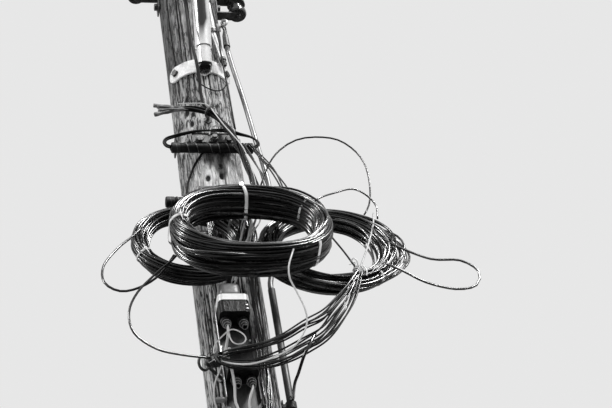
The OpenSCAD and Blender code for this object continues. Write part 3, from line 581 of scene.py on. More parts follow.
def capped_faces(rows: int, columns: int) -> np.ndarray:
    """The same, with a fan over each end that meets in one of the two points after the grid's.

    Args:
        rows: points along the first parameter.
        columns: points along the second.

    Returns:
        An array of shape (faces, 4), in which the fans' last corners repeat.
    """
    turn = np.arange(columns)
    beside = (turn + 1) % columns
    last = (rows - 1) * columns
    foot = np.stack([np.full(columns, rows * columns), beside, turn, turn], -1)
    head = np.stack([np.full(columns, rows * columns + 1), last + turn, last + beside, last + beside], -1)
    return np.vstack([grid_faces(rows, columns), foot, head])


@dataclass
class Shell:
    """Points, four-sided faces and, for each face corner, a place on the surface in metres."""

    vertices: np.ndarray
    faces: np.ndarray
    uv: np.ndarray | None = None

    def corners(self) -> np.ndarray:
        """The places on the surface, or zeros where the shell has none."""
        return self.uv if self.uv is not None else np.zeros((len(self.faces), 4, 2))

    @staticmethod
    def joined(shells: list["Shell"]) -> "Shell":
        """Several shells as one.

        Args:
            shells: the shells, whose faces keep their order.

        Returns:
            One shell.
        """
        starts = np.cumsum([0] + [len(shell.vertices) for shell in shells])
        return Shell(np.vstack([shell.vertices for shell in shells]),
                     np.vstack([shell.faces + start for shell, start in zip(shells, starts)]),
                     np.vstack([shell.corners() for shell in shells]))

    def mesh_object(self, name: str) -> bpy.types.Object:
        """Puts the shell into a mesh object at the origin, with its places on the surface as a UV map.

        A face whose last corner repeats the one before it is a triangle.

        Args:
            name: the piece's name.

        Returns:
            The linked object.
        """
        kept = np.ones(self.faces.shape, bool)
        kept[:, 3] = self.faces[:, 3] != self.faces[:, 2]
        sizes = kept.sum(axis=1)
        mesh = bpy.data.meshes.new(name)
        mesh.vertices.add(len(self.vertices))
        mesh.vertices.foreach_set("co", self.vertices.astype(np.float32).ravel())
        mesh.loops.add(int(sizes.sum()))
        mesh.loops.foreach_set("vertex_index", self.faces[kept].astype(np.int32))
        mesh.polygons.add(len(self.faces))
        mesh.polygons.foreach_set("loop_start", np.concatenate([[0], np.cumsum(sizes)[:-1]]).astype(np.int32))
        mesh.polygons.foreach_set("use_smooth", np.ones(len(self.faces), bool))
        layer = mesh.uv_layers.new(name="along")
        layer.data.foreach_set("uv", self.corners()[kept].astype(np.float32).ravel())
        mesh.update(calc_edges=True)
        mesh.validate()
        return linked(bpy.data.objects.new(name, mesh))


def linked(made: bpy.types.Object) -> bpy.types.Object:
    """The same object, as part of the scene."""
    bpy.context.scene.collection.objects.link(made)
    return made


class Finishes:
    """Every finish on the pole, made once, and the pieces that have been dressed in them."""

    def __init__(self) -> None:
        """Builds the materials."""
        self.by_name = {finish.name: finish.material() for finish in FINISHES}
        self.pieces: list[bpy.types.Object] = []

    def dress(self, name: str, shell: Shell, finish: str, *stands_for: str) -> bpy.types.Object:
        """Makes a piece of a shell, gives it its finish, and lets it ride on the pole.

        Args:
            name: the piece's name.
            shell: its surface.
            finish: the name of its finish.
            stands_for: the CAD nodes that it is shown in place of.

        Returns:
            The piece.
        """
        piece = shell.mesh_object(name)
        piece.data.materials.append(self.by_name[finish])
        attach(piece, BODY)
        SLOTS.get(finish, finish)
        if stands_for:
            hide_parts(*stands_for)
        self.pieces.append(piece)
        return piece

    def paint(self, node: bpy.types.Object, finish: str) -> None:
        """Gives a CAD node that is shown as it is its finish."""
        node.data.materials.clear()
        node.data.materials.append(self.by_name[finish])
        self.pieces.append(node)


def smooth_path(points: np.ndarray, spacing: float) -> np.ndarray:
    """A smooth curve through points.

    Each stretch between two points is the cubic whose end slopes are half the step between their neighbours,
    and it is cut into equal steps of about the spacing.

    Args:
        points: the points, shape (n, 3).
        spacing: the length of a step.

    Returns:
        Points along the curve, shape (m, 3).
    """
    ends = np.vstack([points[:1], points, points[-1:]])
    stretches = []
    for before, here, there, after in zip(ends[:-3], ends[1:-2], ends[2:-1], ends[3:]):
        steps = max(2, int(np.linalg.norm(there - here) / spacing))
        t = (np.arange(steps) / steps)[:, None]
        stretches.append(0.5 * (2 * here + (there - before) * t
                                + (2 * before - 5 * here + 4 * there - after) * t ** 2
                                + (3 * here - before - 3 * there + after) * t ** 3))
    return np.vstack([*stretches, points[-1:]])


def run_of(path: np.ndarray) -> np.ndarray:
    """How far along a line of points each point lies."""
    return np.concatenate([[0.0], np.cumsum(np.linalg.norm(np.diff(path, axis=0), axis=1))])


def path_length(path: np.ndarray) -> float:
    """The length of a line of points."""
    return float(np.linalg.norm(np.diff(path, axis=0), axis=1).sum())


def square_frames(path: np.ndarray) -> tuple[np.ndarray, np.ndarray]:
    """Two directions square to a path at each point.

    The first is the cross product of the heading and the one direction that the path runs along least, so
    that neither turns suddenly.

    Args:
        path: points, shape (n, 3).

    Returns:
        The two directions, each of shape (n, 3).
    """
    heading = unit(np.gradient(path, axis=0))
    side = unit(np.cross(heading, np.linalg.eigh(heading.T @ heading)[1][:, 0]))
    return side, np.cross(heading, side)


def tube(path: np.ndarray, radius: float | np.ndarray, sides: int = 8) -> Shell:
    """A round tube: at each point of the path a circle, square to it, of that radius, with its ends closed.

    Args:
        path: the centreline.
        radius: one radius, or one for each point.
        sides: flat sides around it.

    Returns:
        The shell, whose places on the surface run around and along it in metres.
    """
    across, up = square_frames(path)
    angle = np.linspace(0.0, TURN, sides, endpoint=False)
    size = np.broadcast_to(np.asarray(radius, float), len(path))[:, None, None]
    ring = across[:, None, :] * np.cos(angle)[None, :, None] + up[:, None, :] * np.sin(angle)[None, :, None]
    vertices = np.vstack([(path[:, None, :] + size * ring).reshape(-1, 3), path[:1], path[-1:]])
    around = np.tile(np.arange(sides), len(path) - 1)[:, None] + np.array([0, 1, 1, 0])
    along = run_of(path)[np.repeat(np.arange(len(path) - 1), sides)[:, None] + np.array([0, 0, 1, 1])]
    uv = np.stack([around * (TURN * float(np.mean(size)) / sides), along], -1)
    return Shell(vertices, capped_faces(len(path), sides), np.concatenate([uv, np.zeros((2 * sides, 4, 2))]))


def band(path: np.ndarray, wide: np.ndarray, out: np.ndarray, width: float, thickness: float) -> Shell:
    """A flat band along a closed path: at each point a rectangle, as wide and thick as given.

    Args:
        path: points of the loop, whose last point joins the first.
        wide: for each point, the direction across the band's width.
        out: for each point, the direction of its thickness.
        width: the band's width.
        thickness: its thickness.

    Returns:
        The shell.
    """
    signs = ((-1, -1), (1, -1), (1, 1), (-1, 1))
    rings = np.stack([path + a * wide * width / 2 + b * out * thickness / 2 for a, b in signs], 1)
    faces = grid_faces(len(path) + 1, 4)
    along = np.repeat(np.arange(len(path)), 4)[:, None] * 0.004 + np.zeros((len(faces), 4))
    uv = np.stack([np.tile([0.0, width, width, 0.0], (len(faces), 1)), along], -1)
    return Shell(rings.reshape(-1, 3), faces % (len(path) * 4), uv)


def lathe(profile: tuple | np.ndarray, foot: np.ndarray, axis: Triple | np.ndarray, sides: int = 16) -> Shell:
    """A turned form: each point of the profile is a circle around the axis, and both ends are closed.

    Args:
        profile: pairs of radius and height along the axis, from the foot up.
        foot: where the axis starts.
        axis: its direction.
        sides: flat sides.

    Returns:
        The shell.
    """
    ahead = unit(np.array(axis))
    ring = circle(np.linspace(0.0, TURN, sides, endpoint=False), *axes(ahead, (0.31, 0.53, 0.79)))
    radius, height = np.array(profile).T[:, :, None, None]
    points = foot + height * ahead + radius * ring
    ends = foot + height[[0, -1], 0] * ahead
    return Shell(np.vstack([points.reshape(-1, 3), ends]), capped_faces(len(profile), sides))


def rounded_block(centre: Triple | np.ndarray, half: Triple | np.ndarray, power: float, steps: int) -> Shell:
    """A block with soft edges, where the powers of x, y and z, each over its half size, add up to one.

    Args:
        centre: its middle.
        half: half its size along X, Y and Z.
        power: how square it is.
        steps: rows from end to end, and half the columns around.

    Returns:
        The shell.
    """
    rise, turn = np.meshgrid(np.linspace(-math.pi / 2, math.pi / 2, steps + 1)[1:-1],
                             np.linspace(0.0, TURN, 2 * steps, endpoint=False), indexing="ij")
    way = np.stack([np.cos(rise) * np.cos(turn), np.cos(rise) * np.sin(turn), np.sin(rise)], -1)
    way /= (np.abs(way) ** power).sum(-1, keepdims=True) ** (1.0 / power)
    points = np.vstack([way.reshape(-1, 3), [[0, 0, -1], [0, 0, 1]]]) * half + centre
    return Shell(points, capped_faces(steps - 1, 2 * steps))


def lattice(u: np.ndarray, v: np.ndarray, around: int, seed: int) -> np.ndarray:
    """Smooth value noise: random numbers on a lattice, joined by cubic ramps, that repeats around.

    Args:
        u: place around, in turns, from 0 to 1.
        v: place up, in cells.
        around: cells in a full turn.
        seed: picks the numbers.

    Returns:
        Values from 0 to 1 in the shape of u and v.
    """
    table = np.random.default_rng(seed).random((int(v.max()) + 3, around))
    u = u * around
    column, row = np.floor(u).astype(int), np.floor(v).astype(int)
    s, t = u - column, v - row
    s, t = s * s * (3 - 2 * s), t * t * (3 - 2 * t)
    left, right = column % around, (column + 1) % around
    low = table[row, left] * (1 - s) + table[row, right] * s
    high = table[row + 1, left] * (1 - s) + table[row + 1, right] * s
    return low * (1 - t) + high * t


@dataclass
class PoleShaft:
    """The pole: a tapered trunk whose surface has long checks, ridges of fibre, pits and a painted shadow under
    the upper clamp.
    """

    finishes: Finishes
    top_radius: float = 0.101
    top_edge: float = 0.012
    front_columns: int = 160
    back_columns: int = 112
    dense_from: float = 5.75
    dense_to: float = 8.05
    dense_step: float = 0.0095
    plain_step: float = 0.065
    checks: int = 95
    pits: int = 70
    seed: int = 31

    def grid(self, height: float) -> tuple[np.ndarray, np.ndarray]:
        """Rows and columns of points: closer together where the hardware hangs, and on the front half.

        Args:
            height: the pole's height.

        Returns:
            The rows' heights, and the columns' angles from -Y towards +X.
        """
        heights = np.concatenate([np.arange(0.0, self.dense_from, self.plain_step),
                                  np.arange(self.dense_from, self.dense_to, self.dense_step),
                                  np.arange(self.dense_to, height - self.top_edge, self.plain_step),
                                  [height - self.top_edge]])
        quarter = TURN / 4
        angles = np.concatenate([np.linspace(-quarter, quarter, self.front_columns, endpoint=False),
                                 np.linspace(quarter, 3 * quarter, self.back_columns, endpoint=False)])
        return heights, angles

    def carvings(self, angle: np.ndarray, z: np.ndarray,
                 radius: np.ndarray) -> Iterator[tuple[np.ndarray, float, float]]:
        """Each check, pit, nail hole and gouge.

        A check is a long groove that wanders: across it the depth falls off as a bell curve, and along it as
        the root of a parabola. The others are bell curves in both directions.

        Args:
            angle: angle of each point from -Y.
            z: height of each point.
            radius: radius of the round trunk there.

        Returns:
            The form of each from 0 to 1, its depth in metres, and how dark it is.
        """
        draw = np.random.default_rng(self.seed)
        shallow = 1 - 0.85 * bell(z - 7.02, 0.26, 4)
        for _ in range(self.checks):
            centre, middle = draw.uniform(-math.pi, math.pi), draw.uniform(0.1, 8.7)
            half, width = draw.uniform(0.15, 1.1), draw.uniform(0.0016, 0.0038)
            deep, drift = draw.uniform(0.003, 0.011), draw.uniform(-0.10, 0.10)
            wander = 0.02 * np.sin((z - middle) * draw.uniform(4, 11) + draw.uniform(0, 6))
            wander = drift * (z - middle) + wander
            across = bell(wrapped(angle - centre - wander) * radius, width)
            yield across * bow(z - middle, half, 0.5) * shallow, deep, min(1.0, deep / 0.006)
        for centre, middle, half, width in SEEN_CHECKS:
            wander = 0.03 * np.sin((z - middle) * 7.0 + centre * 9.0)
            across = bell(wrapped(angle - centre - wander) * radius, width)
            yield across * bow(z - middle, half, 0.5), 0.008, 1.0
        for _ in range(self.pits):
            centre, middle = draw.uniform(-math.pi, math.pi), draw.uniform(2.0, 8.3)
            wide, tall = draw.uniform(0.002, 0.0045), draw.uniform(0.005, 0.013)
            deep = draw.uniform(0.003, 0.007)
            yield bell(wrapped(angle - centre) * radius, wide) * bell(z - middle, tall), deep, 1.0
        for x, middle, wide in GOUGES:
            yield bell((angle - x / 0.11) * radius, wide) * bell(z - middle, wide * 1.6), 0.009, 1.0

    def weathering(self, angle: np.ndarray, z: np.ndarray,
                   radius: np.ndarray) -> tuple[np.ndarray, np.ndarray]:
        """Depth of the surface below the round trunk, and how much of that is carved.

        The ridges are value noise, stretched along the trunk, in three sizes.

        Args:
            angle: angle of each point from -Y.
            z: height of each point.
            radius: radius of the round trunk there.

        Returns:
            The depth in metres, and the mark from 0 to 1.
        """
        turn = (angle / TURN) % 1.0
        sizes = ((0.0011, 2.2, 84), (0.0016, 1.1, 30), (0.0010, 5.0, 150))
        ridges = sum(high * lattice(turn, z * cells_up, around, self.seed + number)
                     for number, (high, cells_up, around) in enumerate(sizes, 1))
        depth, mark = np.zeros_like(z), np.zeros_like(z)
        for form, deep, dark in self.carvings(angle, z, radius):
            depth = np.maximum(depth, deep * form)
            mark = np.maximum(mark, dark * form)
        return ridges + depth, mark

    def patches(self, angle: np.ndarray, z: np.ndarray) -> tuple[np.ndarray, ...]:
        """The painted shadow under the upper clamp, the painted pool of light below it, how much darker it is,
        with painted shade along the left edge, and how pecked it all is.

        Args:
            angle: angle of each point from -Y.
            z: height of each point.

        Returns:
            Four shares from 0 to 1.
        """
        ragged = lattice((angle / TURN) % 1.0, z * 30, 60, self.seed + 7) - 0.5
        # A painted shadow under the upper clamp: a funnel with ragged sides that narrows downwards.
        drop = share(6.99 - z, 0.185)
        wide = 0.62 * (1 - drop) ** 0.8 + 0.34 * ragged * drop
        clamp_shadow_share = share(wide - np.abs(angle - 0.10) + 0.06, 0.12) * (drop < 1) * share(7.02 - z, 0.02)
        # A painted pool of light right of the middle, below the upper clamp.
        lit_patch = bell(angle - 0.15, 0.85) * bell(z - 6.78, 0.13)
        high = share(z - 7.22, 0.22)
        beside = bell(angle - 0.58, 0.30, 4) * share(6.25 - z, 0.1) * share(z - 5.86, 0.1)
        # Painted shade along the left edge, added to the darkening.
        edge = 0.45 * share(-0.30 - angle, 0.8) * (angle > -math.pi / 2)
        darkening_and_edge_shade = np.clip(0.46 * high + 0.62 * beside + edge + 0.6 * ragged * (high + beside), 0, 0.85)
        pecked = bell(z - 6.99, 0.30, 4) * (0.75 + 0.5 * ragged) + 0.8 * beside
        low = bell(z - 6.0, 0.32, 4) * (angle < 0) * (angle > -1.6)
        return clamp_shadow_share, lit_patch, darkening_and_edge_shade * (1 - 0.8 * low), np.clip(pecked + 0.16 * low, 0, 1)

    def build(self) -> None:
        """Makes the trunk, which stands for the CAD shaft, as a grid of angle by height with flat ends."""
        low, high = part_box("pole_shaft")
        heights, angles = self.grid(high.z)
        z, angle = np.meshgrid(heights, angles, indexing="ij")
        radius = high.x + (self.top_radius - high.x) * z / high.z
        deep, mark = self.weathering(angle, z, radius)
        edge = np.array([[0.93, -0.002], [0.88, 0.0], [0.45, 0.0], [0.02, 0.0]])
        wall = np.vstack([radius - deep, (radius - deep)[-1] * edge[:, :1]])
        rise = np.vstack([z, high.z + edge[:, 1:] + np.zeros_like(angles)])
        points = np.stack([wall * np.sin(angles), -wall * np.cos(angles), rise], -1).reshape(-1, 3)
        vertices = np.vstack([points, [[0, 0, low.z], [0, 0, high.z]]])
        rows, columns = rise.shape
        shell = Shell(vertices, capped_faces(rows, columns))
        piece = self.finishes.dress("pole_wood", shell, "weathered_wood", "pole_shaft")
        piece.data.materials.append(self.finishes.by_name["end_grain"])
        number = np.zeros(len(piece.data.polygons), int)
        number[len(heights) * columns: (rows - 1) * columns] = 1
        number[-columns:] = 1
        piece.data.polygons.foreach_set("material_index", number)
        spare = np.zeros(len(vertices) - z.size)
        for name, values in zip(WEATHER, (mark, *self.patches(angle, z))):
            layer = piece.data.attributes.new(name, "FLOAT", "POINT")
            layer.data.foreach_set("value", np.concatenate([values.ravel(), spare]).astype(np.float32))


@dataclass(frozen=True)
class Bulge:
    """A stretch of a coil that a wire springs out over, in metres, or the section swells over, as a share."""

    angle: float
    half_width: float
    outward: float
    forward: float = 0.0

    def push(self, phi: np.ndarray) -> np.ndarray:
        """How far out and forward it goes at each angle round the coil: a bow of the second power."""
        lift = bow(wrapped(phi - self.angle), self.half_width, 2)
        return lift[:, None] * np.array([self.outward, self.forward])


@dataclass
class WireCoil:
    """An oval coil of wire on edge: turns laid side by side in a round-cornered section, hung by a strap.

    Every turn follows the coil's oval at its own place in the section and steps across to the next place
    somewhere on its way round. The section turns a little one way and back and swells between the ties, each
    turn has a slow waver of its own, and a few outer ones have sprung away.
    """

    finishes: Finishes
    node: str
    place: Triple
    wide: float
    high: float
    radial: float
    deep: float
    lean: float
    wire: float
    seed: int
    jackets: tuple[str, ...]
    ties: tuple[float, ...]
    strays: tuple[Bulge, ...]
    swells: tuple[Bulge, ...] = ()
    pitch: float = 0.0087
    looseness: float = 1.0
    missing: float = 0.05
    points_a_turn: int = 60

    @property
    def ring(self) -> float:
        """Radius of the oval's half rings, to the middle of the section."""
        return self.high / 2 - self.radial / 2

    def laid(self, x: np.ndarray, up: np.ndarray, depth: np.ndarray) -> np.ndarray:
        """Points of the upright coil, leaned and put in their place.

        Args:
            x: to the right.
            up: along the coil's height.
            depth: towards the front.

        Returns:
            The points.
        """
        lean = math.radians(self.lean)
        y = -depth * math.cos(lean) + up * math.sin(lean)
        z = depth * math.sin(lean) + up * math.cos(lean)
        return np.stack([x, y, z], -1) + np.array(self.place)

    def oval(self, phi: np.ndarray, across: np.ndarray) -> tuple[np.ndarray, np.ndarray]:
        """The coil's oval at an angle: two half rings, joined by stretches that bow a little.

        Args:
            phi: angle round the coil.
            across: distance outwards from the middle of its section.

        Returns:
            The places to the right and up.
        """
        stretch = 0.45 * np.tanh(3 * np.cos(phi)) / math.tanh(3) + 0.55 * np.cos(phi)
        out = self.ring + across
        return (self.wide - self.high) / 2 * stretch + out * np.cos(phi), out * np.sin(phi)

    def outline(self, turn: np.ndarray, radius: float) -> tuple[np.ndarray, np.ndarray]:
        """The outline of the coil's section: a circle, drawn apart where the section is deep.

        Args:
            turn: angle round the section.
            radius: the circle's radius.

        Returns:
            The places outwards and towards the front.
        """
        core = max(0.0, (self.deep - self.radial) / 2)
        return radius * np.cos(turn), radius * np.sin(turn) + core * np.tanh(6 * np.sin(turn))

    def places(self, draw: np.random.Generator) -> tuple[np.ndarray, np.ndarray]:
        """Places of the turns in the section, across it and through its depth, row by row and back.

        Neighbouring rows belong to different lengths of wire.

        Args:
            draw: random numbers for the gaps and the unevenness.

        Returns:
            The places, and for each the number of its length.
        """
        half_deep, half_radial = self.deep / 2 - self.wire / 2, self.radial / 2 - self.wire / 2
        core, lengths = max(0.0, (self.deep - self.radial) / 2), len(self.jackets)
        rows, owners = [], []
        levels = np.arange(-half_deep, half_deep + 1e-6, self.pitch * math.sqrt(3) / 2)
        for number, level in enumerate(levels - levels.mean()):
            over = max(0.0, abs(level) - core)
            reach = math.sqrt(max(0.0, half_radial ** 2 - over ** 2))
            across = np.arange(-reach + (number % 2) * self.pitch / 2, reach + 1e-6, self.pitch)
            if len(across):
                across = (across - (across[0] + across[-1]) / 2)[::-1 if (number // lengths) % 2 else 1]
                rows.append(np.stack([across, np.full(len(across), level)], -1))
                owners += [number % lengths] * len(across)
        slots = np.concatenate(rows)
        kept = draw.random(len(slots)) > self.missing
        slots = slots[kept]
        return slots + draw.uniform(-0.0007, 0.0007, slots.shape), np.array(owners)[kept]

    def sprung(self, slots: np.ndarray) -> np.ndarray:
        """The number of the stray that each turn is, or 0: the outermost turns are the strays."""
        chosen = np.zeros(len(slots), int)
        outermost = np.argsort(-slots[:, 0] - 0.15 * slots[:, 1])[:len(self.strays)]
        chosen[outermost] = np.arange(len(self.strays)) + 1
        return chosen

    def route(self, slots: np.ndarray, stray: np.ndarray, draw: np.random.Generator) -> np.ndarray:
        """The path of one length of wire through its places, a turn for each.

        Args:
            slots: places in the section, in the order wound.
            stray: the number of the stray that each turn is, or 0.
            draw: random numbers for the waver.

        Returns:
            Points of the centreline.
        """
        turns = len(slots)
        t = np.arange(turns * self.points_a_turn) / self.points_a_turn
        phi = TURN * t + 0.6
        number = np.minimum(t.astype(int), turns - 1)
        change = share(t % 1.0 - draw.uniform(0.05, 0.60, turns)[number], 0.38)
        change = change ** 2 * (3 - 2 * change)
        slack = np.ones(len(t))
        for tie in self.ties:
            slack *= 1 - 0.85 * bell(wrapped(phi - tie), 0.33)
        edge = np.hypot(slots[:, 0] / (self.radial / 2), slots[:, 1] / (self.deep / 2))
        outward = slots / (np.linalg.norm(slots, axis=1, keepdims=True) + 1e-6)
        phases = draw.uniform(0, TURN, (4, turns))
        sizes = draw.uniform(0.3, 1.0, (2, turns)) * self.looseness * (0.0005 + 0.0024 * edge ** 3)
        proud = draw.uniform(0.0, 1.0, turns) ** 4 * 0.006 * self.looseness * edge ** 4

        def offset(turn: np.ndarray) -> np.ndarray:
            """Place of each point in the section if it belongs to that turn."""
            a, b, c, d = phases[:, turn]
            wave = np.stack([sizes[0, turn] * (np.sin(phi + a) + 0.6 * np.sin(3 * phi + b)),
                             sizes[1, turn] * (np.sin(2 * phi + c) + 0.6 * np.sin(3 * phi + d))], -1)
            wave += outward[turn] * (proud[turn] * (0.5 + 0.5 * np.sin(2 * phi + d)))[:, None]
            place = slots[turn] + slack[:, None] * wave
            for which, bulge in enumerate(self.strays, 1):
                place = place + (stray[turn] == which)[:, None] * bulge.push(phi)
            return place

        following = offset(np.minimum(number + 1, turns - 1))
        place = offset(number) * (1 - change)[:, None] + following * change[:, None]
        for bulge in self.swells:
            place = place * (1 + bulge.push(phi))
        twist = 0.30 * np.sin(phi + 0.8 * self.seed) + 0.16 * np.sin(2 * phi + self.seed)
        squeeze = 0.90 + 0.08 * slack
        ratio = self.deep / self.radial
        across = squeeze * (place[:, 0] * np.cos(twist) - place[:, 1] / ratio * np.sin(twist))
        depth = squeeze * (place[:, 0] * ratio * np.sin(twist) + place[:, 1] * np.cos(twist))
        return self.laid(*self.oval(phi, across), depth)

    def build(self) -> None:
        """Makes the coil's lengths of wire, which stand for its CAD ring."""
        draw = np.random.default_rng(self.seed)
        places, owner = self.places(draw)
        stray = self.sprung(places)
        for number, jacket in enumerate(self.jackets):
            path = self.route(places[owner == number], stray[owner == number], draw)
            stands_for = () if number else (self.node,)
            piece = self.finishes.dress(f"{self.node}_wire_{number + 1}", tube(path, self.wire / 2), jacket,
                                        *stands_for)
            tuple(path[0])

    def tape(self, angle: float, width: float, tight: float) -> Shell:
        """A band of tape drawn tight around the wires, a little creased, with a knot and two tails.

        Args:
            angle: where round the coil it lies.
            width: the tape's width.
            tight: its size as a share of the section's, where less than one draws it in between the wires.

        Returns:
            The shell.
        """
        turn = np.linspace(0.0, TURN, 48, endpoint=False)
        grow = tight * (1 + 0.018 * np.sin(5 * turn + self.seed + angle) + 0.012 * np.sin(9 * turn))
        across, depth = (grow * place for place in self.outline(turn, self.radial / 2 + 0.001))
        middle = angle + 0.02 * np.sin(turn * 2)
        path = self.laid(*self.oval(middle, across), depth)
        along = unit(self.laid(*self.oval(middle + 0.02, across), depth) - path)
        out = unit(np.cross(along, np.roll(path, -1, 0) - np.roll(path, 1, 0)))
        tied = len(turn) // 4
        start = path[tied] + 0.003 * out[tied]
        s = np.linspace(0.0, 1.0, 9)[:, None]
        sag = s ** 2 * np.array([0.0, 0.0, -0.018])
        tails = [tube(start + s * (0.030 * side * along[tied] + 0.012 * out[tied]) + sag,
                      0.0022 * (1.15 - 0.8 * s[:, 0]), 6) for side in (-1.0, 1.0)]
        return Shell.joined([band(path, along, out, width, 0.0011), *tails,
                             rounded_block(start, (0.006, 0.005, 0.005), 2.6, 8)])


class Lay(Enum):
    """How a free wire lies."""

    HANGING = "hanging"
    LOOSE = "loose"
    TAUT = "taut"


@dataclass(frozen=True)
class FreeWire:
    """A wire, or several that run together, along a smooth route. Route and sizes are in millimetres.

    Where there are several, each winds slowly around the route at its own distance from it.
    """

    name: str
    diameter: float
    finish: str
    route: tuple[Triple, ...]
    strands: int = 1
    strand: float = 0.0
    twist: float = 1.2
    gather: float = 0.5
    flat: float = 1.0
    fanned: bool = False
    lay: Lay = Lay.HANGING
    stiffness: str = "medium"
    stands_for: tuple[str, ...] = ()

    def build(self, finishes: Finishes) -> None:
        """Makes the wire.

        Args:
            finishes: the finishes to choose from.
        """
        route = millimetres(*self.route)
        path = smooth_path(route, 0.006)
        line = smooth_path(route, max(0.010, path_length(path) / 34))
        shell = tube(line, self.diameter * MM / 2, 10) if self.strands == 1 else self.bundle(path)
        piece = finishes.dress(self.name, shell, self.finish, *self.stands_for)

    def bundle(self, path: np.ndarray) -> Shell:
        """The strands: they keep their full distance from the route in its middle, or at the end of a fan,
        and are gathered closer elsewhere.

        Args:
            path: the route, closely spaced.

        Returns:
            The shell.
        """
        side, up = square_frames(path)
        s = np.linspace(0.0, 1.0, len(path))
        draw = np.random.default_rng(len(self.name) * 7 + self.strands)
        full = (self.diameter - self.strand) / 2 * MM
        belly = self.gather + (1 - self.gather) * (s if self.fanned else np.sin(math.pi * s) ** 0.6)
        wound = self.twist * path_length(path) * s
        loose = 0.5 if self.strands < 7 else 0.9
        shells = []
        for number in range(self.strands):
            turn = TURN * (number / self.strands + wound) + loose * np.sin(4 * s + draw.uniform(0, 6))
            out = full * belly * (0.86 + 0.14 * np.sin(9 * s + draw.uniform(0, 6)))
            if self.strands > 6:
                out = out * (0.45 + 0.55 * (number % 3) / 2)
            around = side * np.cos(turn)[:, None] * self.flat + up * np.sin(turn)[:, None]
            shells.append(tube(path + out[:, None] * around, self.strand * MM / 2))
        return Shell.joined(shells)


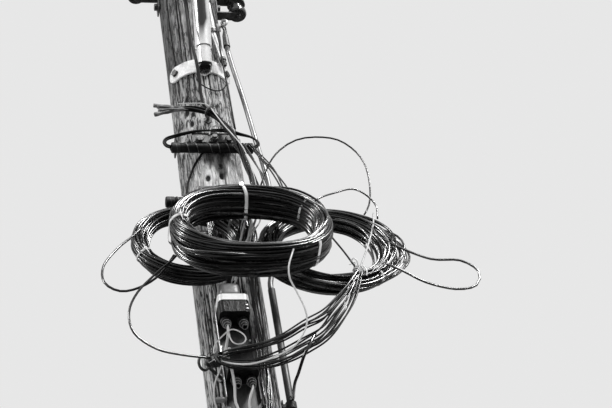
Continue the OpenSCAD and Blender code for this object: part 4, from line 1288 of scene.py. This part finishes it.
WIRES = (
    FreeWire("service_lead", 19, "grey_jacket", (
        (110, -69, 7538.8), (118, -67, 7450), (142, -60, 7260), (164, -50, 7060), (186, -34, 6880),
        (190, -18, 6700), (166, -4, 6530), (145.7, 0, 6430), (145.8, 0, 6400), (146, 0, 6370)),
             stiffness="stiff", stands_for=("service_cable",)),
    FreeWire("drop_wires", 24, "matt_jacket", (
        (-172, -148, 7116), (-100, -148, 7116), (-60, -148, 7116), (-14, -152, 7097), (20, -160, 7054),
        (52, -170, 6976), (76, -178, 6874), (88, -190, 6780), (96, -214, 6690), (100, -246, 6590),
        (104, -262, 6502)),
             strands=6, strand=8, twist=1.5, gather=0.85, stands_for=("drop_bundle",)),
    FreeWire("pale_drop_wire", 3.8, "light_jacket", (
        (-112, -158, 7129), (-64, -162, 7129), (-16, -165, 7122), (7, -171, 7070), (31, -178, 7004),
        (66, -188, 6920), (82, -196, 6869), (90, -218, 6770), (90, -250, 6664), (88, -264, 6580),
        (86, -266, 6510))),
    FreeWire("fan_wires_1", 34, "black_jacket", (
        (60, -150, 6930), (76, -178, 6860), (84, -205, 6770), (84, -238, 6690), (80, -262, 6600),
        (76, -264, 6520)),
             strands=3, strand=5.5, twist=0.25, gather=0.18, fanned=True),
    FreeWire("fan_wires_2", 30, "worn_and_sheen_jacket", (
        (94, -150, 6935), (106, -186, 6840), (114, -215, 6760), (118, -240, 6700), (120, -266, 6600),
        (122, -266, 6510)),
             strands=2, strand=5.5, twist=0.3, gather=0.2, fanned=True),
    FreeWire("fan_wires_3", 36, "black_jacket", (
        (112, -150, 6940), (140, -196, 6820), (160, -232, 6730), (174, -262, 6633), (184, -272, 6560),
        (188, -274, 6480)),
             strands=3, strand=5.5, twist=0.3, gather=0.16, fanned=True),
    FreeWire("pole_cable", 8, "matt_jacket", (
        (-18, -128, 6955), (-34, -119, 6944), (-51, -107, 6921), (-70, -96, 6894), (-93, -73, 6844),
        (-102, -62, 6804), (-108, -54, 6765), (-112, -66, 6700), (-116, -110, 6645))),
    FreeWire("clamp_jumper", 14, "matt_jacket", (
        (-150, -128, 6944), (-165, -129, 6949), (-172, -130, 6963), (-164, -131, 6980), (-140, -134, 6990),
        (-96, -139, 7002), (-50, -140, 7013), (0, -143, 7014), (50, -142, 7013), (92, -135, 7004),
        (126, -132, 6995), (148, -130, 6978), (150, -129, 6958), (130, -128, 6943)),
             strands=2, strand=7, twist=2.2, gather=1.0),
    FreeWire("feed_cable", 6, "matt_jacket", (
        (46, -112, 8300), (46, -112, 8324), (46, -113, 8348), (48, -121, 8366), (51, -135, 8373),
        (54, -149, 8366), (56, -157, 8346), (57, -158, 8310), (57, -156, 8200), (57, -152, 7950),
        (57, -150, 7706), (65, -150, 7538), (66, -150, 7374), (71, -150, 7215), (74, -152, 7012))),
    FreeWire("lamp_pair", 13, "matt_jacket", (
        (-36, -398, 7880), (-46, -352, 7822), (-54, -282, 7740), (-55, -236, 7620), (-52, -226, 7413),
        (-39, -208, 7302), (-32, -186, 7230), (-31, -170, 7172), (-25, -160, 7126), (-8, -154, 7098),
        (14, -156, 7072)),
             strands=2, strand=7, twist=1.3, gather=1.0),
    FreeWire("thin_loop", 5, "matt_jacket", (
        (-30, -182, 7208), (-14, -182, 7192), (8, -178, 7182), (34, -166, 7192), (58, -152, 7222),
        (71, -148, 7256)),
             stiffness="limp"),
    FreeWire("white_wire", 5.5, "light_jacket", (
        (127, -448, 6152), (113, -455, 6112), (102, -448, 6076), (104, -432, 6042), (124, -405, 6018),
        (147, -380, 5972), (153, -362, 5942), (146, -345, 5913), (114, -325, 5870), (82, -310, 5856),
        (34, -290, 5846), (-20, -265, 5848), (-74, -246, 5868), (-102, -232, 5892))),
    FreeWire("terminal_loops", 4.5, "light_jacket", (
        (-54, -184, 6078), (-62, -208, 6030), (-74, -223, 5975), (-83, -227, 5938), (-84, -229, 5920),
        (-91, -230, 5907), (-103, -230, 5903), (-114, -229, 5911), (-118, -228, 5928), (-115, -227, 5950),
        (-104, -227, 5972), (-84, -227, 5996), (-64, -228, 6016), (-48, -230, 6020), (-32, -234, 6008),
        (-19, -238, 5990), (-16, -240, 5970), (-27, -240, 5954), (-44, -238, 5952), (-57, -234, 5965),
        (-62, -231, 5986), (-62, -226, 6006)),
             stiffness="limp"),
    FreeWire("riser_1", 8.5, "light_jacket", (
        (-53, -171, 6088), (-55, -184, 6062), (-64, -204, 6010), (-78, -222, 5940), (-70, -220, 5885),
        (-60, -188, 5835), (-58, -160, 5785), (-36, -146, 5735), (-16, -142, 5680), (-12, -138, 5610)),
             stands_for=("riser_cables",)),
    FreeWire("riser_2", 7.5, "light_jacket", (
        (-1, -171, 5848), (-3, -179, 5830), (-11, -180, 5805), (-19, -167, 5775), (-11, -150, 5730),
        (5, -146, 5685), (8, -138, 5610))),
    FreeWire("riser_3", 5, "light_jacket", (
        (-92, -224, 5897), (-106, -196, 5872), (-117, -166, 5852), (-116, -130, 5820), (-101, -99, 5780),
        (-91, -87, 5735), (-89, -85, 5690))),
    FreeWire("bypass_cable", 10, "black_jacket", (
        (184, -308, 5930), (162, -312, 5886), (144, -304, 5856), (133, -284, 5834), (127, -250, 5824),
        (124, -200, 5830), (132, -130, 5852), (143, -70, 5880), (148, -34, 5902), (148, -18, 5924))),
    FreeWire("inner_loop", 7, "grey_jacket", (
        (60, -150, 6664), (67, -180, 6632), (69, -215, 6579), (40, -235, 6526), (7, -247, 6500),
        (-15, -250, 6462), (-22, -250, 6424), (-16, -247, 6400), (4, -242, 6391), (28, -234, 6404),
        (57, -225, 6451), (76, -215, 6501), (92, -200, 6562), (100, -170, 6620), (98, -152, 6664))),
    FreeWire("terminal_feed", 74, "black_jacket", (
        (14, -150, 6656), (34, -196, 6590), (40, -236, 6520), (34, -244, 6440), (14, -236, 6360),
        (-8, -212, 6300), (-26, -176, 6262)),
             strands=15, strand=5.5, twist=0.35, gather=0.22, flat=0.22),
    FreeWire("terminal_feed_pale", 72, "light_jacket", (
        (50, -152, 6656), (66, -196, 6590), (62, -240, 6510), (40, -250, 6430), (14, -240, 6350),
        (-8, -206, 6290), (-20, -172, 6262)),
             strands=7, strand=5.0, twist=0.5, gather=0.2, flat=0.22),
    FreeWire("curtain_wires", 40, "worn_and_sheen_jacket", (
        (-22, -150, 6662), (-42, -204, 6640), (-62, -238, 6580), (-76, -246, 6505), (-76, -247, 6430),
        (-62, -240, 6352), (-42, -212, 6292), (-32, -178, 6264)),
             strands=7, strand=5.2, twist=0.5, gather=0.3, flat=0.4),
    FreeWire("side_wires", 42, "black_jacket", (
        (44, -150, 6656), (58, -184, 6580), (64, -206, 6480), (60, -204, 6380), (56, -176, 6290),
        (54, -150, 6200), (56, -138, 6080), (54, -136, 5960), (50, -134, 5850), (44, -136, 5760),
        (34, -140, 5695)),
             strands=8, strand=5.5, twist=0.8, gather=0.5),
    FreeWire("skein_1", 24, "worn_and_sheen_jacket", (
        (356, -330, 6182), (318, -334, 6120), (277, -332, 6066), (222, -326, 6006), (160, -308, 5978),
        (86, -285, 5942), (9, -262, 5925), (-60, -244, 5920), (-101, -226, 5918), (-128, -192, 5926)),
             strands=3, strand=5.8, twist=0.8, stands_for=("lower_bundle",)),
    FreeWire("skein_2", 23, "black_jacket", (
        (352, -326, 6178), (306, -330, 6100), (262, -328, 6040), (212, -320, 5985), (152, -302, 5966),
        (80, -282, 5930), (4, -262, 5915), (-64, -242, 5914), (-100, -224, 5913), (-126, -192, 5921)),
             strands=3, strand=5.8, twist=1.1),
    FreeWire("skein_3", 25, "black_jacket", (
        (348, -322, 6174), (300, -326, 6070), (250, -322, 6000), (206, -312, 5945), (150, -295, 5915),
        (80, -275, 5885), (4, -258, 5870), (-66, -240, 5882), (-106, -224, 5902), (-128, -188, 5922)),
             strands=3, strand=5.8, twist=0.9),
    FreeWire("skein_4", 23, "worn_and_sheen_jacket", (
        (346, -320, 6170), (310, -322, 6066), (277, -324, 6005), (207, -308, 5917), (151, -292, 5889),
        (78, -272, 5862), (1, -256, 5856), (-73, -240, 5873), (-108, -226, 5898), (-130, -192, 5920)),
             strands=3, strand=5.8, twist=1.0),
    FreeWire("skein_5", 23, "black_jacket", (
        (360, -332, 6176), (334, -330, 6090), (296, -326, 6012), (230, -310, 5925), (165, -296, 5880),
        (90, -278, 5848), (10, -258, 5840), (-68, -240, 5862), (-104, -222, 5896), (-124, -188, 5918)),
             strands=3, strand=5.8, twist=0.7),
    FreeWire("left_loop", 8, "black_jacket", (
        (-290, -198.4, 6490), (-324, -210, 6440), (-378, -232, 6366), (-432, -250, 6270), (-436, -262, 6188),
        (-391, -270, 6144), (-330, -276, 6154), (-265, -282, 6202), (-214, -288, 6280)),
             stands_for=("left_loops",)),
    FreeWire("low_loop", 7.5, "black_jacket", (
        (-199, -293, 6288), (-224, -296, 6250), (-272, -296, 6201), (-340, -292, 6120), (-372, -285, 6043),
        (-362, -275, 5967), (-298, -262, 5915), (-219, -248, 5902), (-132, -228, 5906))),
    FreeWire("right_loop_wire", 8, "worn_and_sheen_jacket", (
        (456, -281.6, 6372), (505, -293, 6316), (605, -296, 6258), (700, -296, 6252), (752, -296, 6204),
        (733, -296, 6143), (662, -297, 6126), (571, -300, 6152), (505, -304, 6196), (456, -306, 6226)),
             stands_for=("right_loop",)),
    FreeWire("right_arch", 6, "black_jacket", (
        (112, -146, 6680), (122, -186, 6700), (153, -222, 6766), (197, -228, 6829), (257, -232, 6874),
        (324, -235, 6887), (400, -237, 6872), (454, -238, 6812), (476, -240, 6733), (473, -245, 6632),
        (452, -262, 6535), (425, -277, 6476))),
    FreeWire("low_arch", 6, "black_jacket", (
        (222, -322, 6448), (266, -330, 6492), (329, -310, 6540), (398, -290, 6580), (445, -275, 6568),
        (474, -264, 6530), (470, -264, 6470))),
    FreeWire("crossing_wire_1", 6, "light_jacket", (
        (462, -258, 6500), (453, -264, 6450), (433, -279, 6384), (402, -294, 6298), (358, -324, 6186))),
    FreeWire("crossing_wire_2", 6, "black_jacket", (
        (268, -288, 6424), (288, -292, 6378), (307, -299, 6328), (326, -308, 6272), (348, -326, 6186))),
)


def turned(first: np.ndarray, second: np.ndarray, angle: float) -> tuple[np.ndarray, np.ndarray]:
    """Two directions turned in their plane, the first towards the second."""
    cos, sin = math.cos(angle), math.sin(angle)
    return first * cos + second * sin, second * cos - first * sin


@dataclass
class PhotoCamera:
    """The photograph's camera: where it stood, and how it was turned and tilted."""

    azimuth: float = -12.0
    distance: float = 5.2498
    height: float = 1.6
    pitch: float = 44.3403
    yaw: float = 3.3109
    roll: float = -10.4679
    focal_px: float = 2173.3
    picture_px: float = 612.0
    sensor: float = 36.0
    clip_end: float = 500.0

    def build(self) -> None:
        """Adds the scene's camera: it faces the pole, then is turned, tilted and rolled."""
        azimuth, yaw, pitch, roll = (math.radians(v) for v in (self.azimuth, self.yaw, self.pitch, self.roll))
        towards, right = turned(np.array([0.0, 1.0, 0.0]), np.array(RIGHT), -azimuth)
        towards, right = turned(towards, right, yaw)
        ahead, above = turned(towards, np.array(UP), pitch)
        side, top = turned(right, above, roll)
        data = bpy.data.cameras.new("photo_camera")
        data.sensor_width = self.sensor
        data.lens = self.sensor * self.focal_px / self.picture_px
        data.clip_end = self.clip_end
        camera = linked(bpy.data.objects.new("photo_camera", data))
        spot = (math.sin(azimuth) * self.distance, -math.cos(azimuth) * self.distance, self.height)
        turn = Matrix(np.stack([side, top, -ahead], -1).tolist()).to_4x4()
        camera.matrix_world = Matrix.Translation(spot) @ turn
        bpy.context.scene.camera = camera


@dataclass(frozen=True)
class Sun:
    """A soft sun: its strength, its turn and spread in degrees, and where it shows."""

    name: str
    strength: float
    turn: Triple
    spread: float
    in_diffuse: bool = True
    in_gloss: bool = True

    def build(self) -> None:
        """Adds the lamp."""
        data = bpy.data.lights.new(self.name, "SUN")
        data.energy = self.strength
        data.angle = math.radians(self.spread)
        lamp = linked(bpy.data.objects.new(self.name, data))
        lamp.rotation_euler = [math.radians(v) for v in self.turn]
        lamp.visible_diffuse = self.in_diffuse
        lamp.visible_glossy = self.in_gloss


@dataclass
class Studio:
    """A pale floor, an even pale sky above a dark horizon, and soft suns."""

    sky: float = 0.80
    ground: float = 0.05
    ground_ends: float = 0.462
    sky_begins: float = 0.494
    floor_half: float = 600.0
    suns: tuple[Sun, ...] = (
        Sun("key", 2.1, (48.0, 0.0, 38.0), 14.0, in_gloss=False),
        Sun("glint", 8.0, (48.0, 0.0, 38.0), 14.0, in_diffuse=False),
        Sun("fill", 0.7, (62.0, 0.0, -46.0), 40.0, in_gloss=False),
        Sun("side_glint", 4.2, (56.0, 0.0, -64.0), 13.0, in_diffuse=False),
    )

    def build(self) -> None:
        """Adds the sky, whose tone follows the height of the line of sight, then the floor and the suns."""
        scene = bpy.context.scene
        scene.view_settings.view_transform = "Standard"
        scene.world = bpy.data.worlds.new("sky")
        graph = Graph(scene.world, "Background")
        height = graph.add("SeparateXYZ", {0: graph.add("TexCoord").outputs["Generated"]}).outputs["Z"]
        raised = graph.add("Math", {0: height, 1: 0.5, 2: 0.5}, operation="MULTIPLY_ADD").outputs[0]
        graph.set(Color=graph.ramp(raised, (self.ground_ends, self.ground), (self.sky_begins, self.sky)))
        half = self.floor_half
        corners = np.array([[-half, -half, 0], [half, -half, 0], [half, half, 0], [-half, half, 0]])
        floor = Shell(corners, np.array([[0, 1, 2, 3]])).mesh_object("floor")
        pale = bpy.data.materials.new("floor_pale")
        graph = Graph(pale)
        graph.set(Base_Color=graph.ramp(graph.noise(0.4), (0.3, 0.62), (0.7, 0.66)), Roughness=0.9,
                  Specular_IOR_Level=0.0)
        floor.data.materials.append(pale)
        floor.visible_glossy = False
        for sun in self.suns:
            sun.build()


@dataclass
class Trim:
    """Small fixed things: straps, lashings, hooks, knots, screws, painted highlight rims, sheath, seals, a
    painted shadow ring, blocks and staples.
    """

    finishes: Finishes
    strap_places: tuple[tuple[float, float], ...] = ((0.030, 0.026), (-0.136, 0.0), (0.288, 0.0))

    @staticmethod
    def bent(wire: float, sides: int, *lines: tuple[Triple, ...]) -> list[Shell]:
        """Short bent wires, a tube along a smooth path through each line's points.

        Args:
            wire: the wires' radius in metres.
            sides: flat sides around them.
            lines: points in millimetres.

        Returns:
            A shell for each.
        """
        return [tube(smooth_path(millimetres(*line), 0.004), wire, sides) for line in lines]

    def sleeves(self) -> None:
        """Lashes the two cable sleeves with wire, a helix whose pitch wanders, and tapes their ends."""
        lashings, tapes = [], []
        for low, high, node in ((-148, 128, "upper_cable_sleeve"), (-190, 298, "lower_cable_sleeve")):
            bottom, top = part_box(node)
            y, z = (bottom.y + top.y) / 2 / MM, (bottom.z + top.z) / 2 / MM
            radius, turns = (top.z - bottom.z) / 2 / MM, (high - low) / 34
            s = np.linspace(0.0, 1.0, int(turns * 22))
            angle = TURN * turns * (s + 0.02 * np.sin(9 * s) + 0.012 * np.sin(23 * s))
            out = radius + 1.0
            line = [low + (high - low) * s, y + out * np.cos(angle), z + out * np.sin(angle)]
            lashings.append(tube(np.stack(line, -1) * MM, 3.2 * MM / 2, 6))
            s = np.linspace(0.0, 1.0, 19)
            profile = np.stack([(radius + 1.4 + 0.7 * np.abs(np.sin(9 * math.pi * s))) * MM, s * 26 * MM], -1)
            tapes += [lathe(profile, np.array([start, y, z]) * MM, RIGHT, 28) for start in (low, high - 26)]
        self.finishes.dress("sleeve_lashing", Shell.joined(lashings), "bolt_steel")
        self.finishes.dress("sleeve_tape", Shell.joined(tapes), "nozzle_rubber")

    def hooks(self) -> None:
        """Bends the stiff wire hooks at the upper clamp."""
        hooks = self.bent(
            0.0026, 8,
            ((-15, -138, 6996), (-12, -143, 7012), (-5, -146, 7027), (13, -148, 7033), (26, -152, 7026)),
            ((52, -140, 7004), (58, -152, 7014), (66, -158, 7006), (70, -154, 6992)))
        self.finishes.dress("clamp_hooks", Shell.joined(hooks), "light_jacket")

    def straps(self, coils: list[WireCoil]) -> None:
        """Hangs each coil from the lower sleeve by a flat strap, the shortest loop round both, a bit aslant.

        The loop is the outermost point of the two sections in each of 120 directions, evenly spaced again.

        Args:
            coils: the coils that hang.
        """
        low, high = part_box("lower_cable_sleeve")
        sleeve = np.array([(low.y + high.y) / 2, (low.z + high.z) / 2])
        turn = np.linspace(0.0, TURN, 120, endpoint=False)
        ways = np.stack([np.cos(turn), np.sin(turn)], -1)
        straps = []
        for coil, (x, slant) in zip(coils, self.strap_places):
            off = max(0.0, abs(x - coil.place[0]) - (coil.wide - coil.high) / 2)
            phi = math.acos(min(0.95, off / coil.ring))
            across, depth = coil.outline(turn, coil.radial * 0.46 + 0.001)
            section = coil.laid(np.zeros(120), coil.ring * math.sin(phi) + across, depth)[:, 1:]
            points = np.vstack([section, sleeve + 0.019 * ways])
            outer = points[np.argmax(ways @ points.T, axis=1)]
            loop = np.vstack([outer, outer[:1]])
            run = run_of(loop)
            at = np.linspace(0.0, run[-1], 96, endpoint=False)
            y, z = np.interp(at, run, loop[:, 0]), np.interp(at, run, loop[:, 1])
            aslant = slant * (z - section[:, 1].min()) / 0.08 * (z < sleeve[1])
            line = np.stack([np.maximum(x - aslant, x - slant * 1.1), y, z], -1)
            wide = np.tile(RIGHT, (96, 1))
            along = unit(np.roll(line, -1, 0) - np.roll(line, 1, 0))
            straps.append(band(line, wide, np.cross(along, wide), 0.0105, 0.0014))
        self.finishes.dress("strap_loops", Shell.joined(straps), "tie_white", "coil_straps")
        front = coils[0]
        top = front.laid(np.array(-0.014), np.array(front.high / 2 - 0.026), np.array(front.deep / 2 - 0.001))
        buckle = [rounded_block(top, (0.0075, 0.0030, 0.0095), 5, 10),
                  rounded_block(top + [0.0, -0.003, -0.002], (0.0035, 0.0022, 0.0105), 4, 10)]
        self.finishes.dress("strap_buckle", Shell.joined(buckle), "bright_screw")

    @staticmethod
    def windings(count: int, middle: Triple, along: Triple, square: Triple, loose: float, pitch: float,
                 radius: float, wire: float, draw: np.random.Generator) -> list[Shell]:
        """Wire wound round a bundle: rings side by side, each tilted a little.

        Args:
            count: how many rings.
            middle: the middle of them all.
            along: the bundle's direction.
            square: a direction that each ring's first axis is square to.
            loose: how much the rings tilt.
            pitch: distance from ring to ring.
            radius: the rings' radius.
            wire: the wire's radius.
            draw: random numbers for the tilt.

        Returns:
            A shell for each ring.
        """
        rings = []
        for number in range(count):
            way = np.array(along) + draw.uniform(-loose, loose, 3)
            ring = radius * circle(np.linspace(0.0, TURN, 40), *axes(way, square))
            rings.append(tube(np.array(middle) + way * (number - (count - 1) / 2) * pitch + ring, wire, 7))
        return rings

    def knots(self) -> None:
        """Ties the dark knot beside the terminals and the pale one on the right coil, with curling tails."""
        draw = np.random.default_rng(8)
        dark = self.windings(7, (-0.108, -0.219, 5.906), (-0.62, 0.74, 0.26), UP,
                             0.175, 0.0045, 0.0185, 0.0032, draw)
        dark += self.bent(0.0026, 7,
                          ((-112, -236, 5914), (-118, -246, 5900), (-116, -250, 5880), (-108, -246, 5868)),
                          ((-100, -238, 5900), (-96, -250, 5888), (-88, -256, 5884), (-80, -254, 5876)))
        tails = []
        for number in range(22):
            s = np.linspace(0.0, 1.0, 15)[:, None]
            way = unit(draw.normal(0.0, 1.0, 3) * (1.0, 0.7, 1.0))
            side = unit(np.cross(way, draw.normal(0.0, 1.0, 3)))
            long, curl = draw.uniform(0.016, 0.036), draw.uniform(0.004, 0.010)
            foot = np.array([-0.106, -0.228, 5.910]) + draw.uniform(-1.0, 1.0, 3) * (0.020, 0.008, 0.014)
            if number > 14:
                foot = np.array([0.352, -0.338, 6.178]) + draw.uniform(-1.0, 1.0, 3) * 0.010
            if foot[1] + long * way[1] > -0.19:
                way[1] = -abs(way[1])
            sag = s ** 2 * np.array([0.0, 0.0, -0.008])
            line = foot + long * s * way + curl * np.sin(2.6 * s * math.pi) * side + sag
            tails.append(tube(line, 0.0010 * (1.1 - 0.4 * s[:, 0]), 6))
        pale = self.windings(4, (0.352, -0.326, 6.178), (-0.75, 0.05, -0.66), (0.0, 1.0, 0.0),
                             0.2, 0.0055, 0.0135, 0.0026, draw)
        pale += self.bent(0.0024, 7,
                          ((350, -344, 6184), (346, -352, 6198), (336, -352, 6206), (330, -346, 6200)),
                          ((356, -344, 6180), (366, -352, 6170), (372, -350, 6152), (370, -344, 6140)))
        self.finishes.dress("dark_knot", Shell.joined(dark), "nozzle_rubber")
        self.finishes.dress("tie_tails", Shell.joined(tails[::2]), "light_jacket")
        self.finishes.dress("dark_tails", Shell.joined(tails[1::2]), "matt_jacket")
        self.finishes.dress("pale_knot", Shell.joined(pale), "tie_white")

    def screws(self) -> None:
        """Puts screw heads on the terminals and their plate, and an edge on the plate."""
        low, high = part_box("upper_terminal")
        under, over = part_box("lower_terminal")
        plate_low, plate_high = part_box("terminal_plate")
        face, inset = plate_high.y - 0.004, 0.0075
        head = ((0.0, 0.0), (0.0042, 0.0), (0.0045, 0.0012), (0.0036, 0.0032), (0.0018, 0.0040))
        spots = ((high.x - 0.009, low.y, high.z - 0.045), (high.x - 0.009, low.y, low.z + 0.010),
                 (over.x - 0.010, under.y, over.z - 0.012), (under.x + 0.012, under.y, over.z - 0.012),
                 (plate_high.x - inset, face, 6.07), (plate_high.x - inset, face, 6.012),
                 (plate_low.x + inset, face, 6.045))
        screws = [lathe(head, np.array([x, y + 0.0004, z]), (0.0, -1.0, 0.0), 14) for x, y, z in spots]
        self.finishes.dress("terminal_screws", Shell.joined(screws), "bright_screw")
        self.rims()
        edge = rounded_block((plate_low.x + 0.0015, plate_low.y - 0.0005, plate_low.z + 0.275),
                             (0.0016, 0.0012, 0.205), 8, 12)
        self.finishes.dress("plate_edges", edge, "bright_screw")

    def rims(self) -> None:
        """Puts three pale rings on each cable nozzle, painted highlights on its rib edges, smaller towards its
        mouth.
        """
        tilt = math.radians(28.0)
        axis = np.array([0.0, -math.sin(tilt), -math.cos(tilt)])
        ring = circle(np.linspace(0.0, TURN, 29), np.array(RIGHT), np.cross(axis, RIGHT))
        rims = []
        for x, z in ((-0.053, 6.1166), (0.001, 6.1166), (-0.047, 5.8766), (-0.001, 5.8766)):
            for step in range(3):
                middle = np.array([x, -0.1562, z]) + (0.0149 + 0.0135 * step) * axis
                rims.append(tube(middle + (0.0146 - 0.003 * step) * ring, 0.0006, 6))
        self.finishes.dress("nozzle_rims", Shell.joined(rims), "rim_highlight")

    def sheath(self) -> None:
        """Splits the drop wires' sheath into tapered tubes, and rounds the upper terminal's cap."""
        tubes = []
        for wide, narrow, route in ((6.5, 4.5, ((-198, -150, 7128), (-150, -150, 7124), (-100, -149, 7118),
                                                (-74, -148, 7116))),
                                    (7.0, 5.5, ((-187, -156, 7117), (-140, -153, 7115), (-78, -149, 7115))),
                                    (7.5, 6.0, ((-183, -150, 7101), (-130, -152, 7107), (-80, -149, 7113))),
                                    (7.5, 5.0, ((-197, -146, 7086), (-160, -148, 7096), (-118, -149, 7107),
                                                (-82, -148, 7113)))):
            line = smooth_path(millimetres(*route), 0.006)
            uneven = 1 + 0.12 * np.sin(np.linspace(0.0, 19.0, len(line)))
            tubes.append(tube(line, np.linspace(wide, narrow, len(line)) * uneven * MM, 14))
        self.finishes.dress("sheath_tubes", Shell.joined(tubes), "board_grey", "drop_sheath")
        dome = rounded_block((-0.033, -0.157, 6.231), (0.035, 0.033, 0.0295), 4.5, 24)
        self.finishes.dress("cap_dome", dome, "terminal_grey", "terminal_cap")

    def ends(self) -> None:
        """Seals the skein's ends beside their knot, puts a black ring round the lamp's stub as painted shadow
        under its collar, and adds the splice housings.
        """
        lean = math.radians(20.0)
        axis = np.array([0.0, -math.sin(lean), math.cos(lean)])
        # A black ring round the lamp's stub: painted shadow under its collar.
        stub_shadow_ring = ((0.0251, 0.0), (0.0272, 0.001), (0.0276, 0.004), (0.0270, 0.0068), (0.0251, 0.0075))
        seal_and_shadow_ring = [rounded_block((-0.1275, -0.187, 5.9235), (0.0125, 0.0130, 0.0150), 2.4, 16),
                 lathe(stub_shadow_ring, np.array([0.0, -0.150, 7.327]) + 0.010 * axis, axis, 40)]
        self.finishes.dress("skein_seal_and_stub_shadow", Shell.joined(seal_and_shadow_ring), "nozzle_rubber")
        case = ((0.0, 0.0), (0.010, 0.001), (0.015, 0.004), (0.020, 0.012), (0.022, 0.018), (0.022, 0.026),
                (0.0245, 0.028), (0.0245, 0.036), (0.022, 0.038), (0.022, 0.088), (0.0245, 0.090),
                (0.0245, 0.098), (0.020, 0.102), (0.012, 0.110), (0.008, 0.116))
        housing = lathe(case, np.array([-0.141, -0.150, 6.492]), (1.0, 0.02, 0.05), 32)
        self.finishes.dress("splice_case", housing, "terminal_black")
        lying, upright = np.array([0.038, 0.026, 0.012]), np.array([0.026, 0.012, 0.038])
        blocks = [rounded_block(spot, half, 5, 12) for spot, half in (
            ((-0.098, -0.128, 5.824), lying * 0.42), ((-0.082, -0.134, 5.770), upright * 0.55),
            ((-0.086, -0.131, 5.722), upright * 0.5))]
        self.finishes.dress("splice_blocks", Shell.joined(blocks), "terminal_grey")

    def staples(self) -> None:
        """Drives staples over the wires on the pole's face, and a few nails."""
        parts = []
        bend = np.linspace(-0.25 * math.pi, 1.25 * math.pi, 16)
        for x, y, z, angle in ((-87, -83, 5712, -0.80), (-105, -56, 6780, -1.08), (-60, -101, 6908, -0.54),
                               (20, -112, 7165, 0.2), (-46, -100, 7330, -0.42)):
            side, out = turned(np.array(RIGHT), np.array([0.0, 1.0, 0.0]), angle)
            parts.append(tube(np.array([x, y, z]) * MM + 0.0062 * circle(bend, side, -out), 0.0013, 6))
        head = ((0.0, 0.0), (0.0046, 0.0), (0.0048, 0.0012), (0.0030, 0.0026))
        for angle, z in ((0.06, 6.861), (-0.5, 7.22), (0.42, 7.09), (-0.25, 6.62), (0.2, 6.5), (-0.3, 6.0)):
            way = np.array([math.sin(angle), -math.cos(angle), 0.0])
            radius = BUTT_RADIUS - TAPER * z / POLE_HEIGHT - 0.001
            parts.append(lathe(head, radius * way + np.array([0.0, 0.0, z]), way, 12))
        self.finishes.dress("staples", Shell.joined(parts), "bolt_steel")

    def build(self, coils: list[WireCoil]) -> None:
        """Makes all of it, for the coils that hang from the sleeve."""
        self.straps(coils)
        for part in (self.ends, self.sheath, self.sleeves, self.hooks, self.knots, self.screws, self.staples):
            part()


def main() -> None:
    """Builds the camera, the studio and every piece of the pole, and reports each piece."""
    logging.basicConfig(level=logging.INFO, format="%(message)s")
    PhotoCamera().build()
    finishes = Finishes()
    front = WireCoil(
        finishes, "front_coil", (0.025, -0.357, 6.320), wide=0.521, high=0.391, radial=0.065, deep=0.130,
        lean=11.0, wire=0.0075, seed=11, looseness=1.7, ties=(math.pi, 0.66, -0.73),
        jackets=("black_jacket", "worn_and_sheen_jacket", "black_jacket"),
        strays=(Bulge(0.95, 0.75, 0.020), Bulge(1.05, 0.80, 0.012, -0.010), Bulge(0.75, 0.70, 0.008, 0.014),
                Bulge(-2.20, 0.75, 0.030, 0.010), Bulge(-2.05, 0.80, 0.020), Bulge(-2.3, 0.70, 0.012, 0.015),
                Bulge(2.5, 0.6, 0.008, 0.008), Bulge(1.9, 0.6, 0.006, 0.010)))
    left = WireCoil(
        finishes, "left_coil", (-0.132, -0.168, 6.440), wide=0.396, high=0.385, radial=0.064, deep=0.066,
        lean=8.0, wire=0.0070, seed=12, looseness=1.5, ties=(math.pi + 0.35,), jackets=("black_jacket",),
        strays=(Bulge(-2.4, 0.5, 0.008, 0.006), Bulge(2.4, 0.6, 0.007)))
    right = WireCoil(
        finishes, "right_coil", (0.292, -0.245, 6.340), wide=0.470, high=0.425, radial=0.076, deep=0.076,
        lean=10.0, wire=0.0075, seed=13, looseness=3.0, pitch=0.0096, missing=0.16, ties=(-0.87,),
        jackets=("worn_and_sheen_jacket", "black_jacket"),
        strays=(Bulge(0.9, 0.7, -0.035, 0.020), Bulge(0.5, 0.8, -0.050, 0.010),
                Bulge(-0.1, 0.7, 0.014, 0.012), Bulge(1.1, 0.6, 0.012), Bulge(-0.3, 0.8, -0.030),
                Bulge(0.2, 0.9, -0.045, 0.015), Bulge(-1.9, 0.7, 0.014), Bulge(0.35, 0.6, 0.020, 0.010)),
        swells=(Bulge(0.15, 1.0, 0.75, 0.25), Bulge(1.3, 0.8, 0.25)))
    for coil in (front, left, right):
        coil.build()
    for wire in WIRES:
        wire.build(finishes)
    tapes = [front.tape(math.pi, 0.011, 0.93), front.tape(0.66, 0.007, 0.79), front.tape(-0.73, 0.012, 0.83),
             right.tape(-0.87, 0.007, 0.80), left.tape(math.pi + 0.35, 0.007, 0.84)]
    finishes.dress("coil_tape", Shell.joined(tapes), "tie_white", "coil_ties")
    Trim(finishes).build([front, left, right])
    Studio().build()
    PoleShaft(finishes).build()
    for finish, nodes in PLAIN_NODES.items():
        for node in nodes:
            finishes.paint(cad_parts[node], finish)
    for piece in finishes.pieces:
        LOG.info("%s: %d faces", piece.name, len(piece.data.polygons))


if __name__ == "__main__":
    main()
